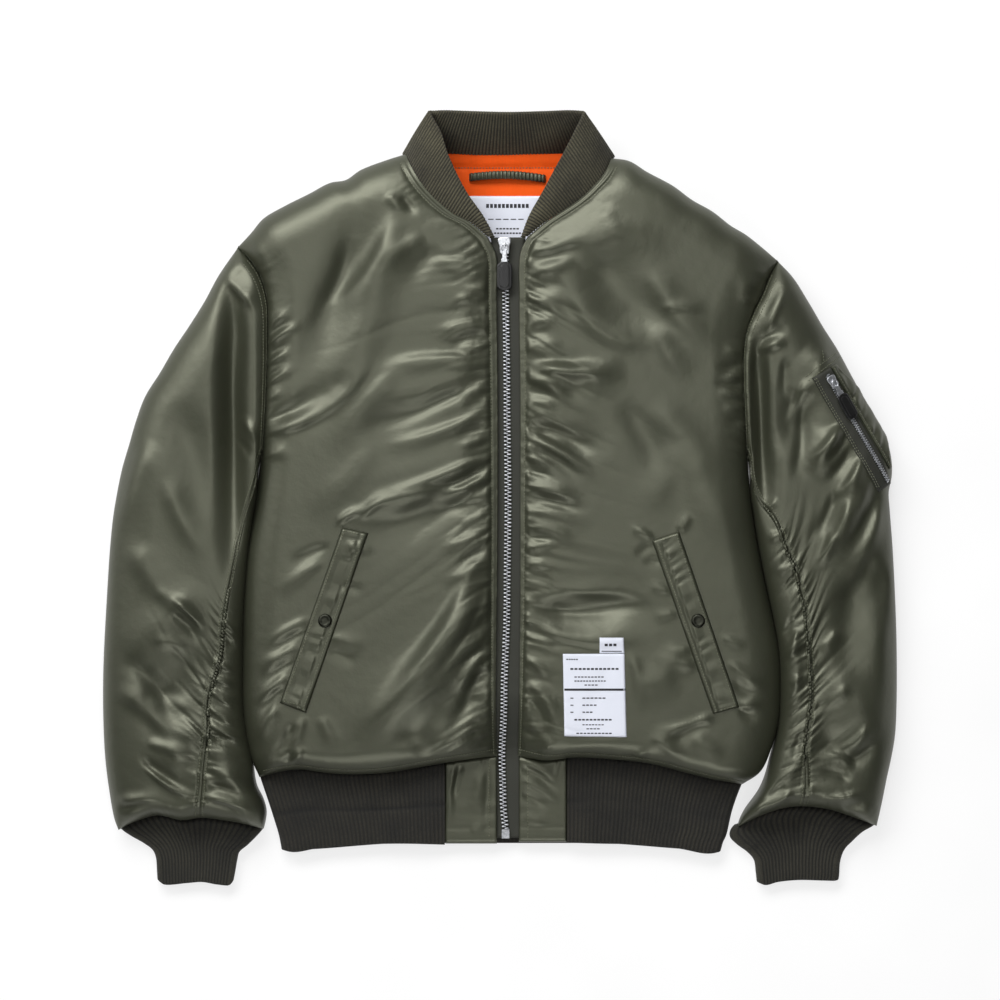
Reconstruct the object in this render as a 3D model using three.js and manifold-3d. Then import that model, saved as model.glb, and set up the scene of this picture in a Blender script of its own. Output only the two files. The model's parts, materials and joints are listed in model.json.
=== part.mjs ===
// A padded nylon bomber jacket laid flat on its back, zipped up, sleeves drawn down beside the body.
// Millimetres, +Z up. X runs to the wearer's left, Y towards the collar, Z off the surface it lies on.
// The origin is on that surface, below the middle of the jacket. "right" and "left" are the wearer's.
import * as THREE from "three";
import { mergeVertices } from "three/addons/utils/BufferGeometryUtils.js";
import Module from "manifold-3d";

const wasm = await Module();
wasm.setup();

// Driving dimensions
const SHELL_WALL = 4; // shell, wadding and lining quilted into one wall
const RIB_WALL = 3.4; // doubled rib knit
const SEAM_GAP = 0.4; // room between two pieces at a seam
const BODY_CROWN = 43; // height of the body above the floor
const SLEEVE_CROWN = 44;
const SEAM_HEIGHT = 12.5; // height of a hem or cuff seam, and of the widest point of a side
const ARMHOLE_HEIGHT = 27; // height of the armhole seam half way up
const TURN_UNDER = 14; // how far the fronts and outer sleeves wrap under
const ZIP_EDGE_HEIGHT = 36; // height of the fronts at the zip
const BACK_NECK_Y = 343;
const HEM_RIB_HEIGHT = 13;
const CUFF_HEIGHT = 11.8;
const RIB_RELIEF = 0.9;
const CHAIN_WIDTH = 6.4;
const TAPE_WALL = 1.2;
const FACING_WALL = 2.6;

// Materials, one for each finish
const finish = (color, roughness, metalness = 0) =>
  new THREE.MeshStandardMaterial({ color, roughness, metalness });
const SHELL = finish(0x5c5f4a, 0.42);
const KNIT = finish(0x3b3a30, 0.95);
const LINING = finish(0xf2581a, 0.5);
const TAPE = finish(0x3f4138, 0.85);
const LABEL = finish(0xe4e6f0, 0.6);
const STEEL = finish(0xb8b9bb, 0.3, 1);
const GUNMETAL = finish(0x4a4b46, 0.35, 1);
const LEATHER = finish(0x141514, 0.45);

const lerp = (a, b, t) => a + (b - a) * t;
const clamp = (t) => Math.min(1, Math.max(0, t));
const smooth = (a, b, x) => {
  const t = clamp((x - a) / (b - a));
  return t * t * (3 - 2 * t);
};
// A quarter ellipse: 0 at an edge, 1 once past the radius.
const roll = (distance, radius) => Math.sqrt(1 - (1 - clamp(distance / radius)) ** 2);
const table = (columns, rows) =>
  rows.map((row) => Object.fromEntries(columns.map((name, i) => [name, row[i]])));
const steps = (from, to, count) =>
  Array.from({ length: count }, (_, k) => lerp(from, to, (k + 1) / count));

// A smooth curve through [x, y] or [x, y, z] points, taken by its own length.
function curve(points) {
  const path = new THREE.CatmullRomCurve3(
    points.map(([x, y, z = 0]) => new THREE.Vector3(x, y, z)), false, "centripetal");
  path.arcLengthDivisions = 400;
  return (t) => path.getPointAt(clamp(t));
}
// Two curves end to end: the first fills 0 to share, the second the rest.
const joined = (first, second, share) => (t) =>
  t < share ? first(t / share) : second((t - share) / (1 - share));
// Share of a curve at which it reaches a height in Y.
function shareAtY(path, y) {
  let [low, high] = [0, 1];
  for (let k = 0; k < 40; k++) {
    const middle = (low + high) / 2;
    if (path(middle).y < y) low = middle;
    else high = middle;
  }
  return low;
}
// Value at a share, between the entries of a short list of [share, value] pairs.
function between(pairs, share) {
  const next = pairs.findIndex(([at]) => at >= share);
  if (next <= 0) return pairs[next === 0 ? 0 : pairs.length - 1][1];
  const [[a, from], [b, to]] = [pairs[next - 1], pairs[next]];
  return lerp(from, to, smooth(a, b, share));
}

// A surface spanned between four edge curves.
function patch(left, right, bottom, top) {
  const corners = [left(0), right(0), left(1), right(1)];
  return (u, v) => {
    const p = new THREE.Vector3()
      .addScaledVector(left(v), 1 - u).addScaledVector(right(v), u)
      .addScaledVector(bottom(u), 1 - v).addScaledVector(top(u), v);
    return p.addScaledVector(corners[0], -(1 - u) * (1 - v))
      .addScaledVector(corners[1], -u * (1 - v))
      .addScaledVector(corners[2], -(1 - u) * v)
      .addScaledVector(corners[3], -u * v);
  };
}
// The share across and along a patch at which it passes a plan point.
function locate(plan, x, y) {
  let [u, v] = [0.5, 0.5];
  const h = 1e-3;
  for (let k = 0; k < 25; k++) {
    const p = plan(u, v);
    const pu = plan(u + h, v).sub(p).divideScalar(h);
    const pv = plan(u, v + h).sub(p).divideScalar(h);
    const det = pu.x * pv.y - pu.y * pv.x;
    const [dx, dy] = [x - p.x, y - p.y];
    u = Math.min(0.999, Math.max(0, u + (0.8 * (dx * pv.y - dy * pv.x)) / det));
    v = Math.min(0.999, Math.max(0, v + (0.8 * (pu.x * dy - pu.y * dx)) / det));
  }
  return [u, v];
}

// Folds: a soft ridge (high above 0) or trough along a bowed line from one plan point to another.
const FOLD_COLUMNS = ["x0", "y0", "x1", "y1", "bow", "wide0", "wide1", "high"];
const FOLD_STEPS = 8;
function foldField(rows) {
  const folds = table(FOLD_COLUMNS, rows).map((f) => {
    const a = new THREE.Vector2(f.x0, f.y0);
    const b = new THREE.Vector2(f.x1, f.y1);
    const side = new THREE.Vector2(a.y - b.y, b.x - a.x).normalize();
    const middle = a.clone().add(b).multiplyScalar(0.5).addScaledVector(side, 2 * f.bow);
    return { ...f, points: new THREE.QuadraticBezierCurve(a, middle, b).getPoints(FOLD_STEPS) };
  });
  return (x, y) => {
    let sum = 0;
    for (const f of folds) {
      let best = Infinity;
      let along = 0;
      for (let i = 0; i < FOLD_STEPS; i++) {
        const p = f.points[i];
        const q = f.points[i + 1];
        const dx = q.x - p.x;
        const dy = q.y - p.y;
        const t = clamp(((x - p.x) * dx + (y - p.y) * dy) / (dx * dx + dy * dy));
        const d = Math.hypot(x - p.x - t * dx, y - p.y - t * dy);
        if (d < best) {
          best = d;
          along = (i + t) / FOLD_STEPS;
        }
      }
      const width = lerp(f.wide0, f.wide1, along);
      const fade = smooth(-0.05, 0.15, along) * (1 - smooth(0.5, 1, along));
      sum += f.high * fade * Math.exp(-((best / width) ** 2));
    }
    return sum;
  };
}

// A closed geometry from points and faces, turned so that its faces point out.
function facingOut(points, faces) {
  let volume = 0;
  for (let k = 0; k < faces.length; k += 3) {
    const [a, b, c] = [points[faces[k]], points[faces[k + 1]], points[faces[k + 2]]];
    volume += a.dot(b.clone().cross(c));
  }
  if (volume < 0)
    for (let k = 0; k < faces.length; k += 3)
      [faces[k + 1], faces[k + 2]] = [faces[k + 2], faces[k + 1]];
  const geometry = new THREE.BufferGeometry();
  geometry.setAttribute("position",
    new THREE.Float32BufferAttribute(points.flatMap((p) => [p.x, p.y, p.z]), 3));
  geometry.setIndex(faces);
  geometry.computeVertexNormals();
  return geometry;
}

// Closes an outer and an inner grid of points into one body. The grids may run round in a ring.
function closedWall(outer, inner, ring = false) {
  const rows = outer.length;
  const columns = outer[0].length;
  const points = [...outer.flat(), ...inner.flat()];
  const id = (side, j, i) => side * rows * columns + j * columns + (i % columns);
  const faces = [];
  const quad = (a, b, c, d) => faces.push(a, b, c, a, c, d);
  const last = ring ? columns : columns - 1;
  const [front, end] = [rows - 1, columns - 1];
  for (let i = 0; i < last; i++) {
    for (let j = 0; j < front; j++) {
      quad(id(0, j, i), id(0, j, i + 1), id(0, j + 1, i + 1), id(0, j + 1, i));
      quad(id(1, j, i), id(1, j + 1, i), id(1, j + 1, i + 1), id(1, j, i + 1));
    }
    quad(id(0, 0, i), id(1, 0, i), id(1, 0, i + 1), id(0, 0, i + 1));
    quad(id(0, front, i), id(0, front, i + 1), id(1, front, i + 1), id(1, front, i));
  }
  for (let j = 0; j < front && !ring; j++) {
    quad(id(0, j, 0), id(0, j + 1, 0), id(1, j + 1, 0), id(1, j, 0));
    quad(id(0, j, end), id(1, j, end), id(1, j + 1, end), id(0, j + 1, end));
  }
  return facingOut(points, faces);
}

// A wall whose inner face is the outer grid moved in along its normals. top is the row and column
// of a point that looks up; thickness is a number or a function of row and column; a seam that two
// walls share hands both the same normals.
function wall(grid, thickness, top, { ring = false, relief = () => 0, seam = () => null } = {}) {
  const [rows, columns] = [grid.length, grid[0].length];
  const at = (j, i) => grid[Math.min(rows - 1, Math.max(0, j))][
    ring ? (i + columns) % columns : Math.min(columns - 1, Math.max(0, i))];
  const gridNormal = (j, i) => {
    const across = at(j, i + 1).clone().sub(at(j, i - 1));
    return across.cross(at(j + 1, i).clone().sub(at(j - 1, i))).normalize();
  };
  const facing = Math.sign(gridNormal(...top).z);
  const normalAt = (j, i) => seam(j, i) ?? gridNormal(j, i).multiplyScalar(facing);
  const moved = (amount) => grid.map((row, j) => row.map((p, i) =>
    p.clone().addScaledVector(normalAt(j, i), amount(j, i))));
  const thick = (j, i) => (typeof thickness === "function" ? thickness(j, i) : thickness);
  return closedWall(moved(relief), moved((j, i) => -thick(j, i)), ring);
}

// A sheet laid on other pieces: each place is a point and a direction, and the sheet follows the
// pieces' faces along it, lifted clear of them.
function drape(places, targets, thickness, lift = SEAM_GAP) {
  const caster = new THREE.Raycaster();
  const reach = 45;
  const heightAt = (p, n) => {
    caster.set(p.clone().addScaledVector(n, reach), n.clone().negate());
    const hit = caster.intersectObjects(targets)[0];
    return hit ? reach - hit.distance : 0;
  };
  places.flat().forEach((place) => { place.high = heightAt(place.p, place.n); });
  const samples = 4;
  const clear = (corners) => {
    for (let a = 0; a <= samples; a++)
      for (let b = 0; b <= samples - a; b++) {
        const share = [a / samples, b / samples, 1 - (a + b) / samples];
        const p = new THREE.Vector3();
        const n = new THREE.Vector3();
        let have = 0;
        corners.forEach((corner, k) => {
          p.addScaledVector(corner.p, share[k]);
          n.addScaledVector(corner.n, share[k]);
          have += corner.high * share[k];
        });
        const short = heightAt(p, n.normalize()) - have;
        if (short > 0) corners.forEach((corner) => { corner.high += short; });
      }
  };
  for (let j = 0; j < places.length - 1; j++)
    for (let i = 0; i < places[0].length - 1; i++) {
      const [a, b, c, d] = [places[j][i], places[j][i + 1], places[j + 1][i + 1], places[j + 1][i]];
      clear([a, b, c]);
      clear([a, c, d]);
    }
  const face = (extra) => places.map((row) => row.map((place) =>
    place.p.clone().addScaledVector(place.n, place.high + lift + extra)));
  return closedWall(face(thickness), face(0));
}
const UP = new THREE.Vector3(0, 0, 1);
// Places over a plan quad: corners a, b on the first row and d, c on the last.
function quadPlaces([a, b, c, d], rows, columns) {
  const corner = ([x, y]) => new THREE.Vector3(x, y, 0);
  return Array.from({ length: rows + 1 }, (_, j) => Array.from({ length: columns + 1 }, (_, i) => ({
    p: corner(a).lerp(corner(b), i / columns).lerp(corner(d).lerp(corner(c), i / columns), j / rows),
    n: UP,
  })));
}

// A flat sheet cut to a plan outline.
function flatSheet(outline, bottom, thickness) {
  const shape = new THREE.Shape(outline.map((p) => new THREE.Vector2(p.x, p.y)));
  const geometry = new THREE.ExtrudeGeometry(shape, { depth: thickness, bevelEnabled: false });
  return geometry.translate(0, 0, bottom);
}

// Boolean solids for the zip sliders and pulls
function solid(geometry) {
  const bare = geometry.clone();
  bare.deleteAttribute("normal");
  bare.deleteAttribute("uv");
  const merged = mergeVertices(bare, 1e-4);
  return new wasm.Manifold(new wasm.Mesh({
    numProp: 3,
    vertProperties: merged.attributes.position.array,
    triVerts: new Uint32Array(merged.index.array),
  }));
}
function geometryOf(made) {
  const mesh = made.getMesh();
  const geometry = new THREE.BufferGeometry();
  geometry.setAttribute("position", new THREE.BufferAttribute(mesh.vertProperties, 3));
  geometry.setIndex(new THREE.BufferAttribute(mesh.triVerts, 1));
  geometry.computeVertexNormals();
  return geometry;
}
const block = (x0, x1, y0, y1, z0, z1) =>
  solid(new THREE.BoxGeometry(x1 - x0, y1 - y0, z1 - z0)
    .translate((x0 + x1) / 2, (y0 + y1) / 2, (z0 + z1) / 2));
const crossBar = (radius, width, z) =>
  solid(new THREE.CylinderGeometry(radius, radius, width, 16).rotateZ(Math.PI / 2).translate(0, 0, z));

const jacket = new THREE.Group();
function add(name, geometry, material) {
  const mesh = new THREE.Mesh(geometry, material);
  mesh.name = name;
  jacket.add(mesh);
  return mesh;
}

// Plan curves, each a short list of [x, y] points
const HEM_SEAM = curve([[-242, -279], [-220, -273], [-200, -271], [-178, -274], [-150, -276],
  [-112, -274], [-70, -267], [-40, -262], [-5, -258], [18, -258], [45, -262], [75, -259],
  [115, -261], [150, -265], [190, -275], [215, -281], [244, -286]]);
const BODY = {
  right: {
    out: -1,
    hem: [0, 0.492],
    side: curve([[-242, -279], [-252, -255], [-259, -215], [-260, -160], [-259, -110],
      [-255, -60], [-248, -15], [-242, 30], [-237, 70], [-234, 120], [-233, 165], [-234, 200],
      [-242, 226], [-253, 242], [-264, 254]]),
    shoulder: curve([[-264, 254], [-250, 269], [-238, 283], [-216, 296], [-192, 308], [-171, 319],
      [-155, 322], [-140, 332], [-111, 343], [-95, 348]]),
    neckline: curve([[-12, 262], [-30, 277], [-47, 286], [-62, 298], [-76, 313], [-87, 330],
      [-95, 348]]),
    zipEdge: curve([[-3, -258], [-4, -200], [-3, -100], [-2, 0], [-2, 100], [-3, 200], [-4, 246],
      [-12, 262]]),
  },
  left: {
    out: 1,
    hem: [1, 0.535],
    side: curve([[244, -286], [262, -273], [273, -250], [280, -225], [283, -195], [282, -160],
      [276, -125], [268, -90], [260, -50], [253, -5], [249, 40], [246, 80], [244, 120], [244, 150],
      [247, 170], [254, 188], [263, 206], [271, 225], [280, 240]]),
    shoulder: curve([[280, 240], [266, 252], [247, 267], [232, 276], [214, 290], [193, 302],
      [174, 316], [148, 330], [130, 341], [112, 344]]),
    neckline: curve([[27, 262], [45, 277], [62, 288], [78, 299], [94, 314], [105, 328], [112, 344]]),
    zipEdge: curve([[18, -258], [19, -200], [20, -100], [20, 0], [20, 100], [19, 200], [20, 246],
      [27, 262]]),
  },
};
const NECK_SHARE = 0.8; // share of a front's inner edge that lies along the zip
const FRONT_LENGTH = 600; // mean length of a front, for turning distances into shares
const BODY_FOLDS = foldField([
  [-130, 300, -215, 95, 10, 24, 20, -7], [-95, 285, -165, 60, -6, 18, 26, 5],
  [-12, 130, -150, 95, 5, 18, 22, 5], [-12, 48, -160, 0, -4, 17, 22, 5],
  [-12, -82, -160, -250, 12, 17, 24, 9], [-12, -12, -150, -50, -10, 18, 22, -5],
  [95, 258, 200, 180, -30, 22, 24, -6], [70, 245, 175, 240, 22, 18, 20, 5],
  [27, 132, 130, 128, -4, 17, 20, 6], [27, 70, 110, 38, 8, 17, 20, -5],
  [27, -110, 165, -86, -14, 18, 24, -7], [190, 60, 245, -60, -8, 20, 22, 4],
]);

// Height of the armhole seam, by Y: low at the armpit and at the shoulder.
const armholeHeight = (y) => lerp(SEAM_HEIGHT, ARMHOLE_HEIGHT, smooth(28, 85, y) * (1 - smooth(170, 250, y)));
// 0 where a side of the body wraps under, 1 where it ends at the armhole.
const atArmhole = (y) => smooth(20, 50, y);

// Columns at a rounded edge, from under it to its widest point: how far in, how high. Along the
// armhole the same four columns lie close to the edge instead.
const UNDER = table(["inset", "high", "armholeInset"],
  [[TURN_UNDER, 0, 0], [6, 0, 0.5], [1.5, 4, 1], [0, SEAM_HEIGHT, 1.5]]);
const ROLL_INSETS = [2.5, 7, 16, 30];
const EDGE_ROLL = 42;
const HEM_ROLL = 26;
const HEM_INSETS = [0, 2, 6, 13, 24];

// One front: u runs from its side to the zip, v from the hem to the shoulder.
function frontSurface(side) {
  const half = BODY[side];
  const zipSide = joined(half.zipEdge, half.neckline, NECK_SHARE);
  const hem = (u) => HEM_SEAM(lerp(...half.hem, u)).lerp(zipSide(0), smooth(0.9, 1, u));
  const plan = patch(half.side, zipSide, hem, half.shoulder);
  const widthAt = (v) => half.side(v).distanceTo(zipSide(v));
  const point = (u, v, shoulderInset = (1 - v) * FRONT_LENGTH) => {
    const p = plan(u, v);
    const width = widthAt(v);
    const sideInset = u * width;
    const zipInset = (1 - u) * width;
    const hemInset = v * FRONT_LENGTH;
    const nearZip = Math.exp(-((zipInset / 20) ** 2));
    const hemRoll = lerp(roll(hemInset, HEM_ROLL), smooth(-2, 62, hemInset), nearZip);
    const held = roll(sideInset, EDGE_ROLL) * roll(shoulderInset, EDGE_ROLL) * hemRoll;
    const base = lerp(armholeHeight(p.y), SEAM_HEIGHT, smooth(0, 60, sideInset));
    const free = smooth(0, 16, zipInset) * smooth(0, 24, shoulderInset);
    const crown = lerp(BODY_CROWN, ZIP_EDGE_HEIGHT, nearZip) + free * BODY_FOLDS(p.x, p.y);
    p.z = base + (crown - base) * held;
    return p;
  };
  return { plan, widthAt, point };
}

const ZIP_INSETS = [60, 36, 20, 9, 0];
const FRONT_COLUMNS = 6;
const FRONT_ROWS = 14;
const shoulderShare = (inset) => 1 - inset / FRONT_LENGTH;
const FRONT_LINES = [
  ...HEM_INSETS.map((inset) => inset / FRONT_LENGTH),
  ...steps(HEM_INSETS.at(-1) / FRONT_LENGTH, NECK_SHARE, FRONT_ROWS),
  ...steps(NECK_SHARE, shoulderShare(ROLL_INSETS[3]), 4),
  ...ROLL_INSETS.slice(0, 3).reverse().map(shoulderShare),
];
const frontShares = (width) => [
  ...ROLL_INSETS.map((inset) => inset / width),
  ...steps(ROLL_INSETS[3] / width, 1 - ZIP_INSETS[0] / width, FRONT_COLUMNS).slice(0, -1),
  ...ZIP_INSETS.map((inset) => 1 - inset / width),
];
function front(side) {
  const surface = frontSurface(side);
  const lines = FRONT_LINES.map((v) => ({ v }));
  UNDER.slice().reverse().forEach(({ inset, high }) => lines.push({ v: shoulderShare(inset), high }));
  const grid = lines.map(({ v, high }) => {
    const width = surface.widthAt(v);
    const inset = high === undefined ? undefined : 0;
    const up = high === undefined ? atArmhole(surface.plan(0, v).y) : 1;
    const row = UNDER.map((under) => {
      const share = lerp(under.inset, under.armholeInset, up) / width;
      const p = surface.point(share, v, inset);
      p.z = lerp(under.high, p.z, up);
      return p;
    });
    frontShares(width).forEach((u) => row.push(surface.point(u, v, inset)));
    if (high !== undefined) row.forEach((p) => { p.z = Math.min(p.z, high); });
    return row;
  });
  const lastColumn = grid[0].length - 1;
  const thick = (j, i) => between([[0, 2.2], [1, 2.8], [2, SHELL_WALL]], lastColumn - i);
  return { surface, mesh: add(`front_${side}`, wall(grid, thick, [10, 10]), SHELL) };
}
const FRONTS = { right: front("right"), left: front("left") };

// The back lies flat on the floor, inside the edge that the fronts turn under.
function backOutline() {
  const walk = (side) => {
    const { surface } = FRONTS[side];
    const shoulder = shoulderShare(TURN_UNDER + SEAM_GAP);
    const shares = [...FRONT_LINES.filter((v) => v < shoulder - 0.01), shoulder];
    const edge = shares.map((v) => {
      const { y } = surface.plan(0, v);
      const under = TURN_UNDER + SEAM_GAP + 4 * Math.exp(-(((y - 12) / 22) ** 2));
      const inset = lerp(under, 0.5, smooth(36, 64, y));
      return surface.plan(inset / surface.widthAt(v), v);
    });
    return [...edge, ...frontShares(surface.widthAt(shoulder)).map((u) => surface.plan(u, shoulder))];
  };
  const neck = [[-84, BACK_NECK_Y], [0, BACK_NECK_Y], [100, BACK_NECK_Y]];
  return [
    ...walk("right"),
    ...neck.map(([x, y]) => new THREE.Vector3(x, y, 0)),
    ...walk("left").reverse(),
    ...steps(0.97, 0.03, 24).map((t) => HEM_SEAM(t).add(new THREE.Vector3(0, 0.8, 0))),
  ];
}
const BACK = add("back", flatSheet(backOutline(), 0, SHELL_WALL), SHELL);

// Sleeves: u runs from the edge beside the body to the outline, v from the armhole to the cuff.
const SLEEVE_LENGTH = [370, 640]; // along the edge beside the body, and along the outline
const ARMPIT_Y = 42;
const SLEEVES = {
  right: {
    inner: [[-250, 0], [-255, -30], [-258.5, -60], [-262, -110], [-263, -160], [-262, -215],
      [-255, -255], [-246, -285], [-238, -301], [-235, -313], [-236, -323], [-238, -331]],
    outline: [[-284, 224], [-297, 200], [-312, 176], [-328, 152], [-342, 128], [-357, 104],
      [-366, 80], [-373, 56], [-380, 32], [-385, 8], [-389, -16], [-392, -45], [-395, -90],
      [-399, -170], [-399, -220], [-397, -260], [-393, -292], [-388, -320], [-384, -332]],
    cuffSeam: [[-238, -331], [-260, -325], [-285, -321], [-300, -319.5], [-320, -322], [-343, -317],
      [-360, -321], [-375, -327], [-384, -332]],
    longSeam: [[0, 0.06], [0.3, 0.12], [0.55, 0.16], [0.75, 0.26], [1, 0.42]],
    folds: [
      [-279, 235, -282, -100, -3, 16, 18, -17], [-330, 100, -290, -60, 14, 20, 24, -5],
      [-345, 60, -390, -40, -6, 18, 24, 5], [-300, -80, -380, -160, 8, 18, 22, 5],
      [-300, -150, -375, -230, 8, 18, 22, -5], [-297, -215, -345, -275, 6, 16, 18, 6],
      [-285, -240, -252, -300, -4, 14, 14, 6],
    ],
  },
  left: {
    inner: [[258, 0], [264.5, -40], [272, -80], [280, -118], [285.5, -150], [287, -190], [284.5, -230],
      [275, -266], [259, -294], [246, -312], [241, -322], [239, -329]],
    outline: [[295, 223], [311, 198], [325, 174], [339, 152], [352, 128], [365, 104], [378, 80],
      [386, 66], [391, 54], [394, 38], [394, 24], [391, 8], [392, -10], [395, -50], [398, -112],
      [399, -150], [399, -200], [397.5, -235], [394, -257], [389, -280], [385, -300], [379, -328]],
    cuffSeam: [[239, -329], [260, -318], [280, -311], [300, -308], [330, -311], [355, -319], [379, -328]],
    longSeam: [[0, 0.05], [0.11, 0.08], [0.28, 0.19], [0.5, 0.24], [0.79, 0.27], [1, 0.46]],
    folds: [
      [254, 180, 262, -60, 4, 12, 10, -12], [335, 75, 305, 20, 6, 14, 16, 8],
      [358, 42, 318, -60, 10, 14, 18, 7], [300, 110, 290, 40, -4, 16, 16, -7],
      [300, 150, 345, 90, 6, 18, 22, 5], [385, -60, 330, -130, 8, 18, 22, -6],
      [320, -170, 385, -250, 8, 18, 22, 6], [310, -230, 370, -290, 6, 16, 18, -6],
      [290, -130, 288, -230, 0, 14, 14, 6],
    ],
  },
};
const ARMHOLE_ROLL = 30;
const CUFF_ROLL = 22;
const OUTLINE_ROLL = 45;
const INNER_ROLL = 25;

function sleeveSurface(side) {
  const half = BODY[side];
  const { inner, outline, cuffSeam, longSeam, folds } = SLEEVES[side];
  const armpit = shareAtY(half.side, ARMPIT_Y);
  const armholePoint = (u) => {
    const t = lerp(armpit, 1, u);
    const along = half.side(Math.min(1, t + 0.004)).sub(half.side(t - 0.004)).normalize();
    return half.side(t).add(new THREE.Vector3(along.y, -along.x, 0).multiplyScalar(1.1 * half.out));
  };
  const ends = [armholePoint(0), armholePoint(1)].map((p) => [p.x, p.y]);
  const innerEdge = curve([ends[0], ...inner]);
  const outer = curve([ends[1], ...outline]);
  const plan = patch(innerEdge, outer, armholePoint, curve(cuffSeam));
  const widthAt = (v) => innerEdge(v).distanceTo(outer(v));
  const lengthAt = (u) => lerp(...SLEEVE_LENGTH, u);
  const field = foldField(folds);
  const point = (u, v) => {
    const p = plan(u, v);
    const armInset = v * lengthAt(u);
    const cuffInset = (1 - v) * lengthAt(u);
    const [innerInset, outerInset] = [u * widthAt(v), (1 - u) * widthAt(v)];
    const held = roll(outerInset, OUTLINE_ROLL) * roll(innerInset, INNER_ROLL)
      * roll(armInset, ARMHOLE_ROLL) * roll(cuffInset, CUFF_ROLL);
    const base = lerp(armholeHeight(p.y), SEAM_HEIGHT, smooth(0, 50, armInset));
    const free = smooth(0, 24, armInset) * smooth(0, 20, cuffInset) * smooth(0, 20, outerInset);
    p.z = base + (SLEEVE_CROWN + free * field(p.x, p.y) - base) * held;
    return p;
  };
  const normal = (u, v) => {
    const h = 2e-3;
    const across = point(Math.min(1, u + h), v).sub(point(u - h, v));
    const along = point(u, Math.min(1, v + h)).sub(point(u, Math.max(0, v - h)));
    const n = across.cross(along).normalize();
    return n.z < 0 ? n.negate() : n;
  };
  return { plan, widthAt, lengthAt, point, normal, seam: (v) => between(longSeam, v) };
}

const SLEEVE_ROWS = 13;
const FLOOR_SHARES = [0.28, 0.5, 0.72]; // columns of the layer on the floor
const sleeveLines = () => {
  const near = [0, 2.5, 8, 18, 32].map((inset) => inset / 505);
  const far = [24, 14, 6, 2, 0].map((inset) => 1 - inset / 505);
  return [...near, ...steps(near.at(-1), far[0], SLEEVE_ROWS).slice(0, -1), ...far];
};
function sleeve(side) {
  const surface = sleeveSurface(side);
  const lines = sleeveLines();
  const outerGrid = lines.map((v) => {
    const width = surface.widthAt(v);
    const from = surface.seam(v) + 0.5 / width;
    const to = 1 - 34 / width;
    const row = [from, ...steps(from, to, 6)].map((u) => surface.point(u, v));
    [20, 10, 4, 1.2].forEach((inset) => row.push(surface.point(1 - inset / width, v)));
    UNDER.slice().reverse().forEach(({ inset, high }) => {
      const p = surface.plan(1 - inset / width, v);
      p.z = high;
      row.push(p);
    });
    return row;
  });
  const underGrid = lines.map((v) => {
    const width = surface.widthAt(v);
    const from = surface.seam(v) - 0.5 / width;
    const row = [from, ...steps(from, 5 / width, 3), 1.2 / width].map((u) => surface.point(u, v));
    [[0, 9], [1.5, 3], [6, 0]].forEach(([inset, high]) => {
      const p = surface.plan(inset / width, v);
      p.z = high;
      row.push(p);
    });
    [...FLOOR_SHARES, 1 - (TURN_UNDER + SEAM_GAP) / width].forEach((u) => row.push(surface.plan(u, v)));
    return row;
  });
  const seam = (j, i) => (i === 0 ? surface.normal(surface.seam(lines[j]), lines[j]) : null);
  return {
    surface,
    outer: add(`sleeve_${side}_outer`, wall(outerGrid, SHELL_WALL, [10, 3], { seam }), SHELL),
    under: add(`sleeve_${side}_under`, wall(underGrid, SHELL_WALL, [10, 1], { seam }), SHELL),
  };
}
const ARMS = { right: sleeve("right"), left: sleeve("left") };

// A rib cuff: a flattened tube, u across and v from its open end to the sleeve.
const CUFF_RIBS = 14;
const CUFF_GAP = 2.8; // the seam's points lie further apart on the sleeve than on the cuff
const CUFFS = {
  right: {
    left: [[-344.5, -384], [-345, -375], [-346, -362], [-349, -355], [-357, -349], [-372, -341.5],
      [-383.5, -334.8]],
    right: [[-270, -385], [-268, -375], [-266, -364], [-264, -357], [-255, -350], [-244, -340],
      [-238.5, -333.8]],
    end: [[-344.5, -384], [-338, -387.5], [-315, -386], [-300, -385], [-285, -387.5], [-272, -388],
      [-270, -385]],
  },
  left: {
    left: [[260, -386], [259, -376], [257, -364], [250, -356.5], [240, -350], [233, -343], [234, -337],
      [239.5, -331.8]],
    right: [[340, -384], [341, -380], [342, -366], [346, -355], [355, -346], [365, -338], [376, -333],
      [378, -331.6]],
    end: [[260, -386], [268, -388], [280, -385], [300, -383], [325, -383.5], [340, -384]],
  },
};
function cuff(side) {
  const { left, right, end } = CUFFS[side];
  const seamPoints = SLEEVES[side].cuffSeam.map(([x, y]) => [x, y - CUFF_GAP]);
  if (side === "right") seamPoints.reverse();
  const plan = patch(curve(left), curve(right), curve(end), curve(seamPoints));
  const rows = [0, 0.25, 0.5, 0.68, 0.85, 1];
  const ribs = 2 * CUFF_RIBS;
  const edges = [[0, 0.5], [1.5, 0.82], [5.5, 1]];
  const grid = rows.map((v) => {
    const width = plan(0, v).distanceTo(plan(1, v));
    const height = lerp(CUFF_HEIGHT, SEAM_HEIGHT, smooth(0.6, 1, v));
    const place = (u, share) => {
      const p = plan(u, v);
      p.z = share * height;
      return p;
    };
    const [from, to] = [5.5 / width, 1 - 5.5 / width];
    return [
      ...edges.slice(1).map(([inset, share]) => place(inset / width, share)),
      ...steps(from, to, ribs).slice(0, -1).map((u) => place(u, 1)),
      ...edges.slice().reverse().map(([inset, share]) => place(1 - inset / width, share)),
      ...edges.slice(1).map(([inset, share]) => place(1 - inset / width, 1 - share)),
      ...FLOOR_SHARES.slice().reverse().map((u) => place(u, 0)),
      ...edges.slice(1).reverse().map(([inset, share]) => place(inset / width, 1 - share)),
      place(0, 0.5),
    ];
  });
  const relief = (j, i) => (i > 1 && i < ribs + 1 && i % 2 ? RIB_RELIEF : 0);
  return add(`cuff_${side}`, wall(grid, (j, i) => RIB_WALL, [2, 8], { ring: true, relief }), KNIT);
}
cuff("right");
cuff("left");

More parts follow.
